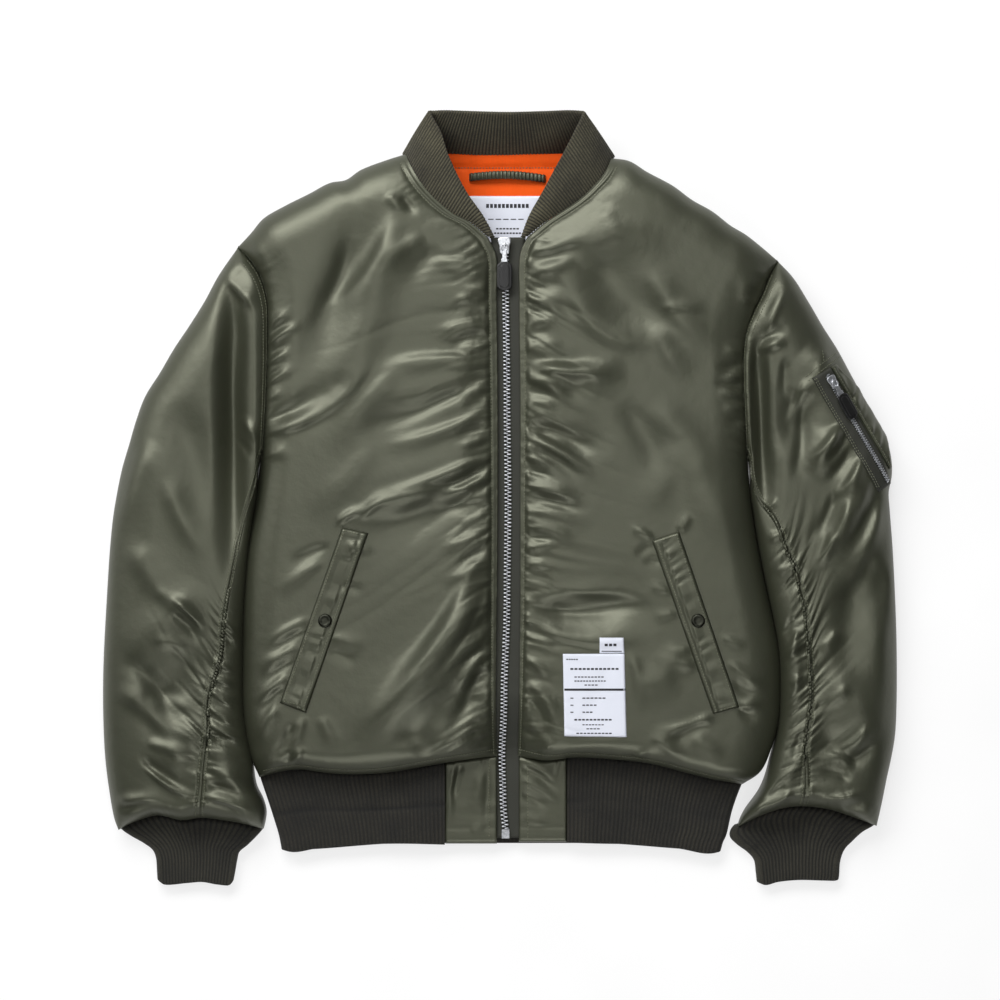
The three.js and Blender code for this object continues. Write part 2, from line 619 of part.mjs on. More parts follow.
// The hem band runs round from facing to facing: right front, side fold, back, side fold, left front.
const FACING_EDGES = { right: -55.6, left: 67.6 }; // where the band meets the facings
const HEM_RIBS = 17; // raised ribs on each front half
const HEM_BAND = {
  right: {
    side: [[-219, -353], [-222, -338], [-228, -320], [-235, -300], [-242, -280.5]],
    end: [[-55.6, -347], [-100, -346], [-140, -347], [-180, -350], [-206, -354.5], [-219, -353]],
  },
  left: {
    side: [[221, -355], [224, -345], [227, -339], [233, -315], [240, -296], [244, -287.5]],
    end: [[67.6, -345], [100, -346], [140, -347], [180, -351], [207, -356], [221, -355]],
  },
};
const seamBelow = (x) => {
  let [low, high] = [0, 1];
  for (let k = 0; k < 30; k++) {
    const middle = (low + high) / 2;
    if (HEM_SEAM(middle).x < x) low = middle;
    else high = middle;
  }
  const p = HEM_SEAM(low);
  return new THREE.Vector3(p.x, p.y - 1.5, 0);
};
function hemBand() {
  const rows = [0, 0.25, 0.55, 0.85, 1];
  const half = (side) => {
    const { side: sidePoints, end } = HEM_BAND[side];
    const facing = FACING_EDGES[side];
    const facingEdge = curve([[facing, end[0][1]], [facing, seamBelow(facing).y]]);
    const sideX = sidePoints.at(-1)[0];
    return patch(facingEdge, curve(sidePoints), curve(end), (u) => seamBelow(lerp(facing, sideX, u)));
  };
  const halves = { right: half("right"), left: half("left") };
  const folds = [[6.5, 1], [1.7, 0.82], [0, 0.5], [1.7, 0.18], [6.5, 0]];
  const grid = rows.map((v) => {
    const height = HEM_RIB_HEIGHT - 0.8 * smooth(0.85, 1, v);
    const ribbed = (side) => {
      const width = halves[side](0, v).distanceTo(halves[side](1, v));
      return [0, ...steps(0, 1 - 6.5 / width, 2 * HEM_RIBS)].map((u) => {
        const p = halves[side](u, v);
        p.z = height;
        return p;
      });
    };
    const fold = (side) => folds.slice(1).map(([inset, share]) => {
      const width = halves[side](0, v).distanceTo(halves[side](1, v));
      const p = halves[side](1 - inset / width, v);
      p.z = share * height;
      return p;
    });
    const right = fold("right");
    const left = fold("left").reverse();
    const across = steps(right.at(-1).x, left[0].x, 16).slice(0, -1).map((x) => {
      const top = seamBelow(x);
      const bottom = -346.5 - 7 * smooth(90, 215, Math.abs(x));
      return new THREE.Vector3(x, lerp(bottom, top.y, v), 0);
    });
    return [...ribbed("right"), ...right, ...across, ...left, ...ribbed("left").reverse()];
  });
  const columns = grid[0].length;
  const frontColumns = 2 * HEM_RIBS;
  const relief = (j, i) => {
    const k = Math.min(i, columns - 1 - i);
    return k < frontColumns && k % 2 ? RIB_RELIEF : 0;
  };
  return add("hem_rib", wall(grid, RIB_WALL, [2, 10], { relief }), KNIT);
}
hemBand();

// Facings: shell cloth that ends the hem band at the zip, turned down at the bottom edge.
const FACINGS = table(["side", "from", "to", "bottom", "inner"],
  [["right", -55, -3, -346.5, 0], ["left", 19, 67, -345, 1]]);
const FACING_HEIGHT = 13.4;
FACINGS.forEach(({ side, from, to, bottom }) => {
  const places = [[0, 1], [0.3, 1], [0.6, 1], [0.85, 1]];
  const turn = [[6, 1], [2, 0.92], [0.5, 0.72], [0, 0.5], [0.6, 0.33]];
  const grid = [...places, ...turn].map(([a, share], k) => [from, ...steps(from, to, 5)].map((x) => {
    const top = seamBelow(x).y;
    const y = k < places.length ? lerp(top, bottom + 6, a) : bottom + a;
    return new THREE.Vector3(x, y, share * FACING_HEIGHT);
  }));
  add(`hem_facing_${side}`, wall(grid, FACING_WALL, [1, 2]), SHELL);
});

// The collar is one rib strip. Its seam follows both fronts' necklines and rounds the back.
const COLLAR_RIM = {
  right: [[-5.5, 262.5, 36], [-17, 284, 40], [-32, 305, 44], [-43, 325, 47], [-52, 345, 49],
    [-59, 366, 50], [-70, 385, 47]],
  left: [[21, 262.5, 36], [29, 284, 40], [41, 305, 44], [52, 325, 47], [63, 345, 49],
    [74, 366, 50], [83, 384, 47]],
};
const COLLAR_BACK = table(["seamX", "seamY", "seamZ", "rimX", "rimY", "rimZ"], [
  [-97, 350, 8.5, -70, 387.5, 45], [-91, 352, 3.5, -66, 388, 43], [-78, 350, 1.6, -56, 388.5, 43],
  [-40, 348.5, 1.4, -28, 387.5, 44], [8, 348, 1.4, 8, 386.5, 45], [58, 348.5, 1.4, 44, 387.5, 44],
  [94, 350, 1.6, 68, 388.5, 43], [107, 350.5, 3.5, 79, 388, 43], [114, 348, 8.5, 83, 387, 45],
]);
const COLLAR_RIBS = 32;
function collar() {
  const seamOf = (side) => {
    const { surface } = FRONTS[side];
    const towards = side === "right" ? 1 : -1;
    return steps(NECK_SHARE - 0.03, shoulderShare(2.5), 7).map((v) => {
      const p = surface.point(1, Math.max(NECK_SHARE, v));
      const ahead = surface.plan(1, Math.min(1, v + 0.01)).sub(surface.plan(1, v - 0.01)).normalize();
      return p.add(new THREE.Vector3(ahead.y, -ahead.x, 0).multiplyScalar(0.9 * towards));
    });
  };
  const seams = { right: seamOf("right"), left: seamOf("left") };
  const toArray = (p) => [p.x, p.y, p.z];
  const seamPoints = [...seams.right.map(toArray),
    ...COLLAR_BACK.map((b) => [b.seamX, b.seamY, b.seamZ]),
    ...seams.left.map(toArray).reverse()];
  const rimPoints = [...COLLAR_RIM.right, ...COLLAR_BACK.map((b) => [b.rimX, b.rimY, b.rimZ]),
    ...COLLAR_RIM.left.slice().reverse()];
  const paramCurve = (points) => {
    const path = new THREE.CatmullRomCurve3(points.map((p) => new THREE.Vector3(...p)), false, "centripetal");
    return (t) => path.getPoint(t);
  };
  const [seam, rim] = [paramCurve(seamPoints), paramCurve(rimPoints)];
  const across = [0, 0.3, 0.65, 1];
  const count = 2 * COLLAR_RIBS;
  const grid = across.map((v) => steps(-1 / count, 1, count + 1).map((t) => {
    const p = seam(clamp(t)).lerp(rim(clamp(t)), v);
    const bulge = Math.sin(Math.PI * v) * 3;
    return p.add(new THREE.Vector3(0, 0, bulge));
  }));
  const relief = (j, i) => (i % 2 && j < across.length - 1 ? RIB_RELIEF : 0);
  return add("collar", wall(grid, RIB_WALL, [1, 5], { relief }), KNIT);
}
collar();

// Front zip: the tapes run under the edges of the fronts and the facings, the chain down the middle.
const ZIP_CENTRE = [[-343, 6], [-300, 3], [-260, 2], [-200, 4], [-100, 7], [0, 8], [100, 7], [262, 5]];
const zipX = (y) => between(ZIP_CENTRE, y);
const CHAIN_END_Y = 251;
const zipStations = [
  ...[-340.5, -330, -312, -294, -276].map((y) => ({ y, z: FACING_HEIGHT - FACING_WALL - 0.6 })),
  ...FRONT_LINES.filter((v) => v <= NECK_SHARE).map((v) => {
    const p = FRONTS.right.surface.point(1, v);
    return { y: p.y, z: p.z - 3 };
  }),
  { y: CHAIN_END_Y, z: FRONTS.right.surface.point(1, NECK_SHARE - 0.02).z - 3 },
].sort((a, b) => a.y - b.y);
const strip = (stations, edges, bottom, top) => {
  const face = (extra) => stations.map(({ y, z }) =>
    edges.map((edge) => new THREE.Vector3(edge(y), y, z + extra)));
  return closedWall(face(top), face(bottom));
};
add("zip_tape_right", strip(zipStations, [() => -9, (y) => zipX(y) - 0.5], -TAPE_WALL, 0), TAPE);
add("zip_tape_left", strip(zipStations, [(y) => zipX(y) + 0.5, () => 25.5], -TAPE_WALL, 0), TAPE);
const CHAIN_TOP = 2.2;
const chainStations = zipStations.filter(({ y }) => y > -331 && y <= CHAIN_END_Y);
add("zip_chain", strip(chainStations,
  [(y) => zipX(y) - CHAIN_WIDTH / 2, (y) => zipX(y) + CHAIN_WIDTH / 2], 0.35, CHAIN_TOP), GUNMETAL);
const boxFloor = zipStations[0].z + 0.35;
add("zip_bottom_box", geometryOf(block(1.8, 9.4, -340.5, -331.5, boxFloor, boxFloor + 2.6)
  .subtract(block(3.4, 7.8, -338, -334, boxFloor + 1.9, boxFloor + 4))), STEEL);

// A zip's slider and pull, about the hinge: local Y points to the zip's closed end, Z off the chain.
const HINGE_HEIGHT = 3.4; // hinge axis above the top of the chain
const PULL_COLUMNS = ["name", "plateLength", "plateWidth", "pullerEnd", "tabEnd", "tabWidth"];
function zipPull(row, at, turn) {
  const { name, plateLength, plateWidth, pullerEnd, tabEnd, tabWidth } =
    Object.fromEntries(PULL_COLUMNS.map((key, i) => [key, row[i]]));
  const half = plateWidth / 2;
  const top = -HINGE_HEIGHT + 0.35 + 1.3;
  const plate = block(-half, half, -plateLength / 2, plateLength / 2, -HINGE_HEIGHT + 0.35, top);
  const bail = crossBar(2.4, 2, 0).add(block(-1, 1, -2.4, 2.4, top - 0.2, 0))
    .subtract(crossBar(1.15, 3, 0).add(block(-2, 2, -1.15, 1.15, top, 0)));
  const slider = plate.add(bail);
  const eye = crossBar(0.8, 4.8, 0);
  const arms = block(-2.4, 2.4, -pullerEnd, 0, -0.7, 0.7)
    .add(block(-3.4, 3.4, -pullerEnd - 3, -pullerEnd + 4, -0.7, 0.7))
    .subtract(block(-1.4, 1.4, -3.4, 2, -2, 2));
  const puller = arms.add(eye);
  const wide = tabWidth / 2;
  const pocket = block(-3.8, 3.8, -pullerEnd - 3.4, -pullerEnd + 2, -1.1, 1.1);
  const tab = block(-wide, wide, -tabEnd, -pullerEnd, -1.7, 1.9).subtract(pocket);
  [["slider", slider, STEEL], ["puller", puller, STEEL], ["tab", tab, LEATHER]].forEach(
    ([part, made, material]) => {
      const mesh = add(`${name}_${part}`, geometryOf(made), material);
      mesh.position.copy(at);
      mesh.quaternion.copy(turn);
    });
}
const chainHigh = zipStations.at(-1).z + CHAIN_TOP;
zipPull(["zip", 14, 9.5, 19, 48, 9], new THREE.Vector3(zipX(255) - 0.5, 254, chainHigh + HINGE_HEIGHT),
  new THREE.Quaternion());

// Pieces sewn onto the fronts: welts with a snap each, and the printed patch with its tab.
const WELTS = {
  right: [[-157, -27], [-136, -33], [-194, -213], [-219, -202]],
  left: [[151, -40], [178, -31], [238, -206], [212, -213]],
};
const SNAPS = { right: [-174, -120], left: [197, -120] };
const WELT_WALL = 2.4;
const SNAP_RADIUS = 7;
jacket.updateMatrixWorld(true);
["right", "left"].forEach((side) => {
  const places = quadPlaces(WELTS[side], 12, 2);
  const welt = add(`welt_${side}`, drape(places, [FRONTS[side].mesh], WELT_WALL), SHELL);
  const [x, y] = SNAPS[side];
  const caster = new THREE.Raycaster(new THREE.Vector3(x, y, 90), new THREE.Vector3(0, 0, -1));
  const { point, face } = caster.intersectObject(welt)[0];
  const cap = new THREE.CylinderGeometry(SNAP_RADIUS - 1, SNAP_RADIUS, 2.2, 24).rotateX(Math.PI / 2);
  const dish = new THREE.CylinderGeometry(3.6, 3.2, 1.4, 20).rotateX(Math.PI / 2).translate(0, 0, 1.1);
  const snap = add(`snap_${side}`, geometryOf(solid(cap).subtract(solid(dish))), GUNMETAL);
  snap.position.copy(point).addScaledVector(face.normal, 1.1 + 0.7);
  snap.quaternion.setFromUnitVectors(UP, face.normal);
});
add("front_label", drape(quadPlaces([[62.5, -153], [124, -153], [126, -236], [64, -235]], 6, 5),
  [FRONTS.left.mesh], 1), LABEL);
add("front_label_tab", drape(quadPlaces([[99, -137], [123, -137], [124, -152.4], [99, -152.4]], 2, 2),
  [FRONTS.left.mesh], 1), LABEL);

// Inside the neck, on the back: lining, label and hanger loop
const LINING_WALL = 1.4;
const lining = add("neck_lining",
  drape(quadPlaces([[-60, 341], [66, 341], [66, 236], [-60, 236]], 1, 1), [BACK], LINING_WALL), LINING);
add("neck_label",
  drape(quadPlaces([[-42, 307], [48, 307], [48, 238], [-42, 238]], 1, 1), [lining], 0.8, 0.3), LABEL);
const LOOP = { from: [-32, 330], to: [46, 322], width: 9, arch: 2, wall: 1.2 };
const loopFace = (extra) => [-1, 1].map((edge) => [0, ...steps(0, 1, 8)].map((t) => {
  const y = lerp(LOOP.from[1], LOOP.to[1], t) - 4 * Math.sin(Math.PI * t) + (edge * LOOP.width) / 2;
  const z = SHELL_WALL + SEAM_GAP * 2 + LINING_WALL + LOOP.arch * Math.sin(Math.PI * t) + extra;
  return new THREE.Vector3(lerp(LOOP.from[0], LOOP.to[0], t), y, z);
}));
add("hanger_loop", closedWall(loopFace(LOOP.wall), loopFace(0)), SHELL);

// Utility pocket on the left sleeve: tape, chain, outer panel and pull, all laid on the sleeve.
const POCKET_ZIP = { from: [322, 128], to: [389, 15] }; // along the chain
const sleeveSkin = ARMS.left.surface;
function pocketPlaces(rows, columns, from, to, until = 1) {
  const start = new THREE.Vector3(...POCKET_ZIP.from, 0);
  const end = new THREE.Vector3(...POCKET_ZIP.to, 0);
  const along = end.clone().sub(start).normalize();
  const across = new THREE.Vector3(-along.y, along.x, 0);
  return Array.from({ length: rows + 1 }, (_, j) => Array.from({ length: columns + 1 }, (_, i) => {
    const base = start.clone().lerp(end, (until * j) / rows);
    const target = base.clone().addScaledVector(across, lerp(from(j / rows), to(j / rows), i / columns));
    const [u, v] = locate(sleeveSkin.plan, target.x, target.y);
    return { p: sleeveSkin.point(u, v), n: sleeveSkin.normal(u, v) };
  }));
}
const sleeveMesh = ARMS.left.outer;
const tapeOuter = (t) => between([[0, 7.6], [0.75, 7], [1, 3.6]], t);
const pocketTape = add("pocket_zip_tape", drape(pocketPlaces(12, 3, () => -14, tapeOuter),
  [sleeveMesh], TAPE_WALL), TAPE);
const pocketChain = add("pocket_zip_chain", drape(pocketPlaces(12, 1, () => -3, () => 3),
  [pocketTape], 1.6), STEEL);
const pocketOuter = (t) => between([[0, 15], [0.3, 24], [0.7, 24], [1, 12]], t);
add("sleeve_pocket", drape(pocketPlaces(12, 2, () => 8.8, pocketOuter, 0.9), [sleeveMesh], 1.6), SHELL);
const seat = pocketPlaces(10, 2, () => -3, () => 3);
const [here, further] = [seat[1][1], seat[3][1]];
const chainFace = (place) => {
  const caster = new THREE.Raycaster(place.p.clone().addScaledVector(place.n, 45), place.n.clone().negate());
  return caster.intersectObject(pocketChain)[0].point;
};
const [near, far] = [chainFace(here), chainFace(further)];
const pullY = near.clone().sub(far).normalize();
const pullZ = here.n.clone().addScaledVector(pullY, -here.n.dot(pullY)).normalize();
const pullTurn = new THREE.Quaternion().setFromRotationMatrix(
  new THREE.Matrix4().makeBasis(pullY.clone().cross(pullZ), pullY, pullZ));
zipPull(["pocket", 12, 8, 16, 46, 9.5], near.addScaledVector(pullZ, HINGE_HEIGHT + 0.8), pullTurn);

export default jacket;
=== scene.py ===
"""A padded satin-nylon bomber jacket laid flat on its back, zipped up, with its sleeves down beside it.

Tables are in millimetres, as the part's source is: X runs to the wearer's left, Y to the collar, Z up.
"right" and "left" are the wearer's. Meshes are written in metres.
"""
import json
import math

import bmesh
import bpy
import numpy as np
from mathutils import Matrix, Vector
from mathutils.bvhtree import BVHTree


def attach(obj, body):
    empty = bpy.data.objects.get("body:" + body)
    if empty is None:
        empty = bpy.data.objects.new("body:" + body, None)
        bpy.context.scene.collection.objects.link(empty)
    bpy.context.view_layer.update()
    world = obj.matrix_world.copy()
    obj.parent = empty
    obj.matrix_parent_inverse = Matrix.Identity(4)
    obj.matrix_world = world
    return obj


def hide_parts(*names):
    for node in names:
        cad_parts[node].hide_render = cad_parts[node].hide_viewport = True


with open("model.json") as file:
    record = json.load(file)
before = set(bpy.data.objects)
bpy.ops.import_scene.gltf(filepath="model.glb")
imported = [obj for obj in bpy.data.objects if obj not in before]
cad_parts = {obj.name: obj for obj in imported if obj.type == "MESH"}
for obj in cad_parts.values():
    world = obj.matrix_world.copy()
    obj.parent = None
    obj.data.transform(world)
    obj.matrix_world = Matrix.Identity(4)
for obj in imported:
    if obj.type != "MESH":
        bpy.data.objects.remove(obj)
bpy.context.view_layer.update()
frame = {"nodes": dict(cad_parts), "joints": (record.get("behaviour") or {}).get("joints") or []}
JACKET = "jacket"
MM = 0.001

# Sizes that the part's source also has
SHELL_WALL = 4
RIB_WALL = 3.4
SEAM_GAP = 0.4
BODY_CROWN = 43
SLEEVE_CROWN = 44
SEAM_HEIGHT = 12.5
ARMHOLE_HEIGHT = 27
TURN_UNDER = 14
ZIP_EDGE_HEIGHT = 36
BACK_NECK_Y = 343
HEM_RIB_HEIGHT = 13
CUFF_HEIGHT = 11.8
FACING_HEIGHT = 13.4
NECK_SHARE = 0.8
FRONT_LENGTH = 600
EDGE_ROLL = 42
HEM_ROLL = 26

# Sizes of the sewing
SHELL_THICK = 2.2  # outer cloth with the wadding pressed behind it
RIB_RELIEF = 1.1
HEM_RIB_PITCH = 4.2
COLLAR_RIB_PITCH = 3.1
CUFF_RIB_PITCH = 3.4
ZIP_STITCH = {"right": 10, "left": 8}  # topstitching, in from the folded edge at the zip
PIPING_INSET = 5.5  # ridge of the seam allowance outside the collar seam


# Shapes of numbers

def lerp(a, b, t):
    return a + (b - a) * t


def smooth(a, b, x):
    t = np.clip((x - a) / (b - a), 0, 1)
    return t * t * (3 - 2 * t)


def roll(distance, radius):
    """A quarter ellipse: 0 at an edge, 1 once past the radius."""
    return np.sqrt(1 - (1 - np.clip(distance / radius, 0, 1)) ** 2)


def bump(x, middle, width):
    return np.exp(-(((x - middle) / width) ** 2))


def between(pairs, share):
    """Value at a share, between the entries of a short list of (share, value) pairs."""
    at = np.array([pair[0] for pair in pairs], float)
    value = np.array([pair[1] for pair in pairs], float)
    i = np.clip(np.searchsorted(at, share) - 1, 0, len(at) - 2)
    return lerp(value[i], value[i + 1], smooth(at[i], at[i + 1], share))


def noise(seed, count=701):
    """Smooth noise along a line, from -1 to 1, one wave to each unit."""
    values = np.random.default_rng(seed).uniform(-1, 1, count)

    def at(s):
        i = np.floor(s).astype(int)
        t = s - i
        return lerp(values[i % count], values[(i + 1) % count], t * t * (3 - 2 * t))
    return at


def puckers(seed, along, away, pitch, reach, high, slant=0.0):
    """Gathers beside a seam: round ridges with pinched valleys that run away from it and fade."""
    warp = noise(seed + 3)(away / (3 * pitch) + along / (9 * pitch))
    wave = noise(seed)((along + slant * away) / pitch + 0.5 * warp)
    length = reach * (0.75 + 0.55 * noise(seed + 1)(along / (1.7 * pitch)))
    fade = np.exp(-((np.maximum(away, 0) / length) ** 1.3)) * smooth(-0.5, 1.6, away)
    return high * (2 * np.abs(wave) ** 0.7 - 0.85) * fade


# Curves and patches in plan

def spline(points, samples=24):
    """A centripetal Catmull-Rom line through the points."""
    p = np.array(points, float)
    p = np.vstack([2 * p[0] - p[1], p, 2 * p[-1] - p[-2]])
    gap = np.maximum(np.linalg.norm(np.diff(p, axis=0), axis=1) ** 0.5, 1e-4)
    t = np.linspace(0, 1, samples, endpoint=False)[:, None]
    line = []
    for k in range(1, len(p) - 2):
        a, b, c, d = p[k - 1:k + 3]
        g0, g1, g2 = gap[k - 1:k + 2]
        m0 = g1 * ((b - a) / g0 - (c - a) / (g0 + g1) + (c - b) / g1)
        m1 = g1 * ((c - b) / g1 - (d - b) / (g1 + g2) + (d - c) / g2)
        line.append(b + m0 * t + (-3 * b + 3 * c - 2 * m0 - m1) * t ** 2
                    + (2 * b - 2 * c + m0 + m1) * t ** 3)
    return np.vstack([*line, p[-2:-1]])


def along_line(line, run):
    def at(t):
        s = np.clip(t, 0, 1) * run[-1]
        return np.stack([np.interp(s, run, column) for column in line.T], axis=-1)
    return at


def curve(points):
    """A smooth curve taken by its own length, from 0 to 1."""
    line = spline(points)
    step = np.linalg.norm(np.diff(line, axis=0), axis=1)
    return along_line(line, np.concatenate([[0], np.cumsum(step)]))


def station_curve(points):
    """A smooth curve on which each of its points is one even step further."""
    line = spline(points)
    return along_line(line, np.arange(len(line), dtype=float))


def joined(first, second, share):
    def at(t):
        t = np.asarray(t, float)
        low = (t < share)[..., None]
        return np.where(low, first(t / share), second((t - share) / (1 - share)))
    return at


def patch(left, right, bottom, top):
    """A plan surface spanned between four edge curves."""
    a, b, c, d = left(0.0), right(0.0), left(1.0), right(1.0)

    def at(u, v):
        u, v = np.broadcast_arrays(np.asarray(u, float), np.asarray(v, float))
        x, y = u[..., None], v[..., None]
        return ((1 - x) * left(v) + x * right(v) + (1 - y) * bottom(u) + y * top(u)
                - (1 - x) * (1 - y) * a - x * (1 - y) * b - (1 - x) * y * c - x * y * d)
    return at


def share_at_y(path, y):
    low, high = 0.0, 1.0
    for _ in range(40):
        middle = (low + high) / 2
        low, high = (middle, high) if path(middle)[1] < y else (low, middle)
    return low


def locate(plan, x, y):
    """The shares across and along a patch at which it passes plan points."""
    u, v = np.full_like(x, 0.5), np.full_like(x, 0.5)
    h = 1e-3
    for _ in range(30):
        p = plan(u, v)
        pu, pv = (plan(u + h, v) - p) / h, (plan(u, v + h) - p) / h
        det = pu[..., 0] * pv[..., 1] - pu[..., 1] * pv[..., 0]
        dx, dy = x - p[..., 0], y - p[..., 1]
        u = np.clip(u + 0.8 * (dx * pv[..., 1] - dy * pv[..., 0]) / det, 0, 0.999)
        v = np.clip(v + 0.8 * (pu[..., 0] * dy - pu[..., 1] * dx) / det, 0, 0.999)
    return u, v


FOLD_STEPS = 8


def fold_field(rows):
    """Folds, each a soft ridge, or a trough where high is below 0, along a bowed line in plan.

    A row is x0, y0, x1, y1, bow, wide0, wide1, high and lean, which makes one flank the steeper.
    """
    lines = []
    for x0, y0, x1, y1, bow, wide0, wide1, high, lean in rows:
        a, b = np.array([x0, y0], float), np.array([x1, y1], float)
        side = np.array([a[1] - b[1], b[0] - a[0]])
        middle = (a + b) / 2 + side / np.linalg.norm(side) * 2 * bow
        t = np.linspace(0, 1, FOLD_STEPS + 1)[:, None]
        lines.append(((1 - t) ** 2 * a + 2 * t * (1 - t) * middle + t * t * b, wide0, wide1, high, lean))

    def at(x, y):
        total = np.zeros_like(x)
        for line, wide0, wide1, high, lean in lines:
            best, along, turn = np.full_like(x, np.inf), np.zeros_like(x), np.ones_like(x)
            for i, (p, q) in enumerate(zip(line[:-1], line[1:])):
                d = q - p
                t = np.clip(((x - p[0]) * d[0] + (y - p[1]) * d[1]) / d.dot(d), 0, 1)
                ox, oy = x - p[0] - t * d[0], y - p[1] - t * d[1]
                away = np.hypot(ox, oy)
                near = away < best
                best = np.where(near, away, best)
                along = np.where(near, (i + t) / FOLD_STEPS, along)
                turn = np.where(near, np.sign(d[0] * oy - d[1] * ox), turn)
            width = lerp(wide0, wide1, along) * (1 + lean * turn)
            fade = smooth(-0.05, 0.26, along) * (1 - smooth(0.5, 1, along))
            total += high * fade * np.exp(-((best / width) ** 2))
        return total
    return at


# Meshes

def object_from(name, bm, material, body=JACKET):
    mesh = bpy.data.meshes.new(name)
    bm.to_mesh(mesh)
    bm.free()
    mesh.shade_smooth()
    mesh.materials.append(material)
    piece = bpy.data.objects.new(name, mesh)
    bpy.context.scene.collection.objects.link(piece)
    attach(piece, body)
    return piece


def grid_mesh(points, cut, top, painted_shade=None):
    """A grid of points as a mesh, with its place in the flat cloth as its UV map.

    top is the row and column of a point that faces up, which settles the way that the faces look.
    The last argument, 0 to 1, is painted shade for the knit's colour: how far each point is darkened, most where
    it lies deep between two ribs.
    """
    rows, columns = points.shape[:2]
    bm = bmesh.new()
    layer = bm.loops.layers.uv.new("cut")
    bmesh.ops.create_grid(bm, x_segments=columns - 1, y_segments=rows - 1, size=1)
    bm.verts.ensure_lookup_table()
    for vert, place in zip(bm.verts, points.reshape(-1, 3) * MM):
        vert.co = place
    if painted_shade is not None:
        depth = bm.verts.layers.float.new("painted_shade")
        for vert, value in zip(bm.verts, painted_shade.reshape(-1)):
            vert[depth] = value
    flat = cut.reshape(-1, 2) * MM
    for face in bm.faces:
        for loop in face.loops:
            loop[layer].uv = flat[loop.vert.index]
    j, i = top
    across = points[j, i + 1] - points[j, i - 1]
    along = points[j + 1, i] - points[j - 1, i]
    if np.cross(across, along)[2] < 0:
        bmesh.ops.reverse_faces(bm, faces=bm.faces)
    return bm


def cloth(name, points, cut, top, material, thick=SHELL_THICK, closed=False, painted_shade=None):
    """A cloth piece from a grid of points; a closed one joins up where its edges meet."""
    bm = grid_mesh(points, cut, top, painted_shade)
    if closed:
        bmesh.ops.remove_doubles(bm, verts=bm.verts, dist=2e-5)
    piece = object_from(name, bm, material)
    if thick:
        wall = piece.modifiers.new("wall", "SOLIDIFY")
        wall.thickness = thick * MM
        wall.offset = -1
        wall.use_rim = True
    return piece


def normals_of(points):
    """Unit normals of a grid of points, looking the way that its middle looks up."""
    across = np.gradient(points, axis=1)
    along = np.gradient(points, axis=0)
    n = np.cross(across, along)
    return n / np.maximum(np.linalg.norm(n, axis=-1, keepdims=True), 1e-9)


def doubled(points, normal, wall, seam_inset, rim_inset, relief):
    """A folded knit strip: an outer and an inner face that close in a round at the rim and the seam.

    Rows run from the rim to the seam; the insets are each row's distance to the two edges.
    """
    close = (roll(rim_inset, wall / 2) * roll(seam_inset, wall / 2))[..., None]
    middle = points - normal * wall / 2
    outer = middle + normal * close * (wall / 2 + relief[..., None])
    inner = middle - normal * close * wall / 2
    return np.concatenate([outer, inner[::-1]], axis=0)


def lengths(points, axis):
    step = np.linalg.norm(np.diff(points, axis=axis), axis=-1)
    start = np.zeros_like(np.take(step, [0], axis=axis))
    return np.concatenate([start, np.cumsum(step, axis=axis)], axis=axis)


def cut_of(points):
    """Where each grid point lies in the flat cloth, by the grid's own lengths."""
    return np.stack([lengths(points, 1), lengths(points, 0)], axis=-1)


def skin_of(*pieces):
    """What a ray meets on some pieces' outer faces."""
    trees = []
    for piece in pieces:
        bm = bmesh.new()
        bm.from_mesh(piece.data)
        trees.append(BVHTree.FromBMesh(bm))
        bm.free()
    return trees


def heights(trees, x, y, missing=0.0):
    """Height of some skins above plan points, with the normals there."""
    high = np.full(x.shape, missing, float)
    normal = np.zeros(x.shape + (3,))
    normal[..., 2] = 1
    for place in np.ndindex(x.shape):
        best = None
        for tree in trees:
            hit = tree.ray_cast(Vector((x[place] * MM, y[place] * MM, 0.2)), Vector((0, 0, -1)))
            if hit[0] is not None and (best is None or hit[0].z > best[0].z):
                best = hit
        if best is not None:
            high[place] = best[0].z / MM
            normal[place] = best[1] if best[1].z > 0 else -best[1]
    return high, normal


def quad_plan(corners, rows, columns):
    a, b, c, d = [np.array(corner, float) for corner in corners]
    v, u = np.meshgrid(np.linspace(0, 1, rows), np.linspace(0, 1, columns), indexing="ij")
    x, y = u[..., None], v[..., None]
    return lerp(lerp(a, b, x), lerp(d, c, x), y)


# Materials

def linear(hex_colour):
    """An sRGB hex colour as linear red, green, blue and alpha."""
    parts = [int(hex_colour[k:k + 2], 16) / 255 for k in (1, 3, 5)]
    return tuple(c / 12.92 if c <= 0.04045 else ((c + 0.055) / 1.055) ** 2.4 for c in parts) + (1,)


def node(tree, kind, settings=(), links=()):
    """Adds a node with its settings, as (name, value), and its links, as (input, output socket)."""
    made = tree.nodes.new(kind)
    for name, value in settings:
        if name in made.inputs:
            made.inputs[name].default_value = value
        else:
            setattr(made, name, value)
    for name, source in links:
        tree.links.new(source, made.inputs[name])
    return made


def blank(name, settings):
    """A material with its shader's own settings; gives the material, its tree and the shader."""
    material = bpy.data.materials.new(name)
    material.use_nodes = True
    tree = material.node_tree
    shader = tree.nodes["Principled BSDF"]
    for key, value in settings:
        shader.inputs[key].default_value = value
    return material, tree, shader


def stops(ramp, colours):
    """Sets a colour ramp's stops from (place, hex colour) pairs."""
    elements = ramp.color_ramp.elements
    for k, (place, colour) in enumerate(colours):
        stop = elements[k] if k < 2 else elements.new(place)
        stop.position = place
        stop.color = linear(colour)


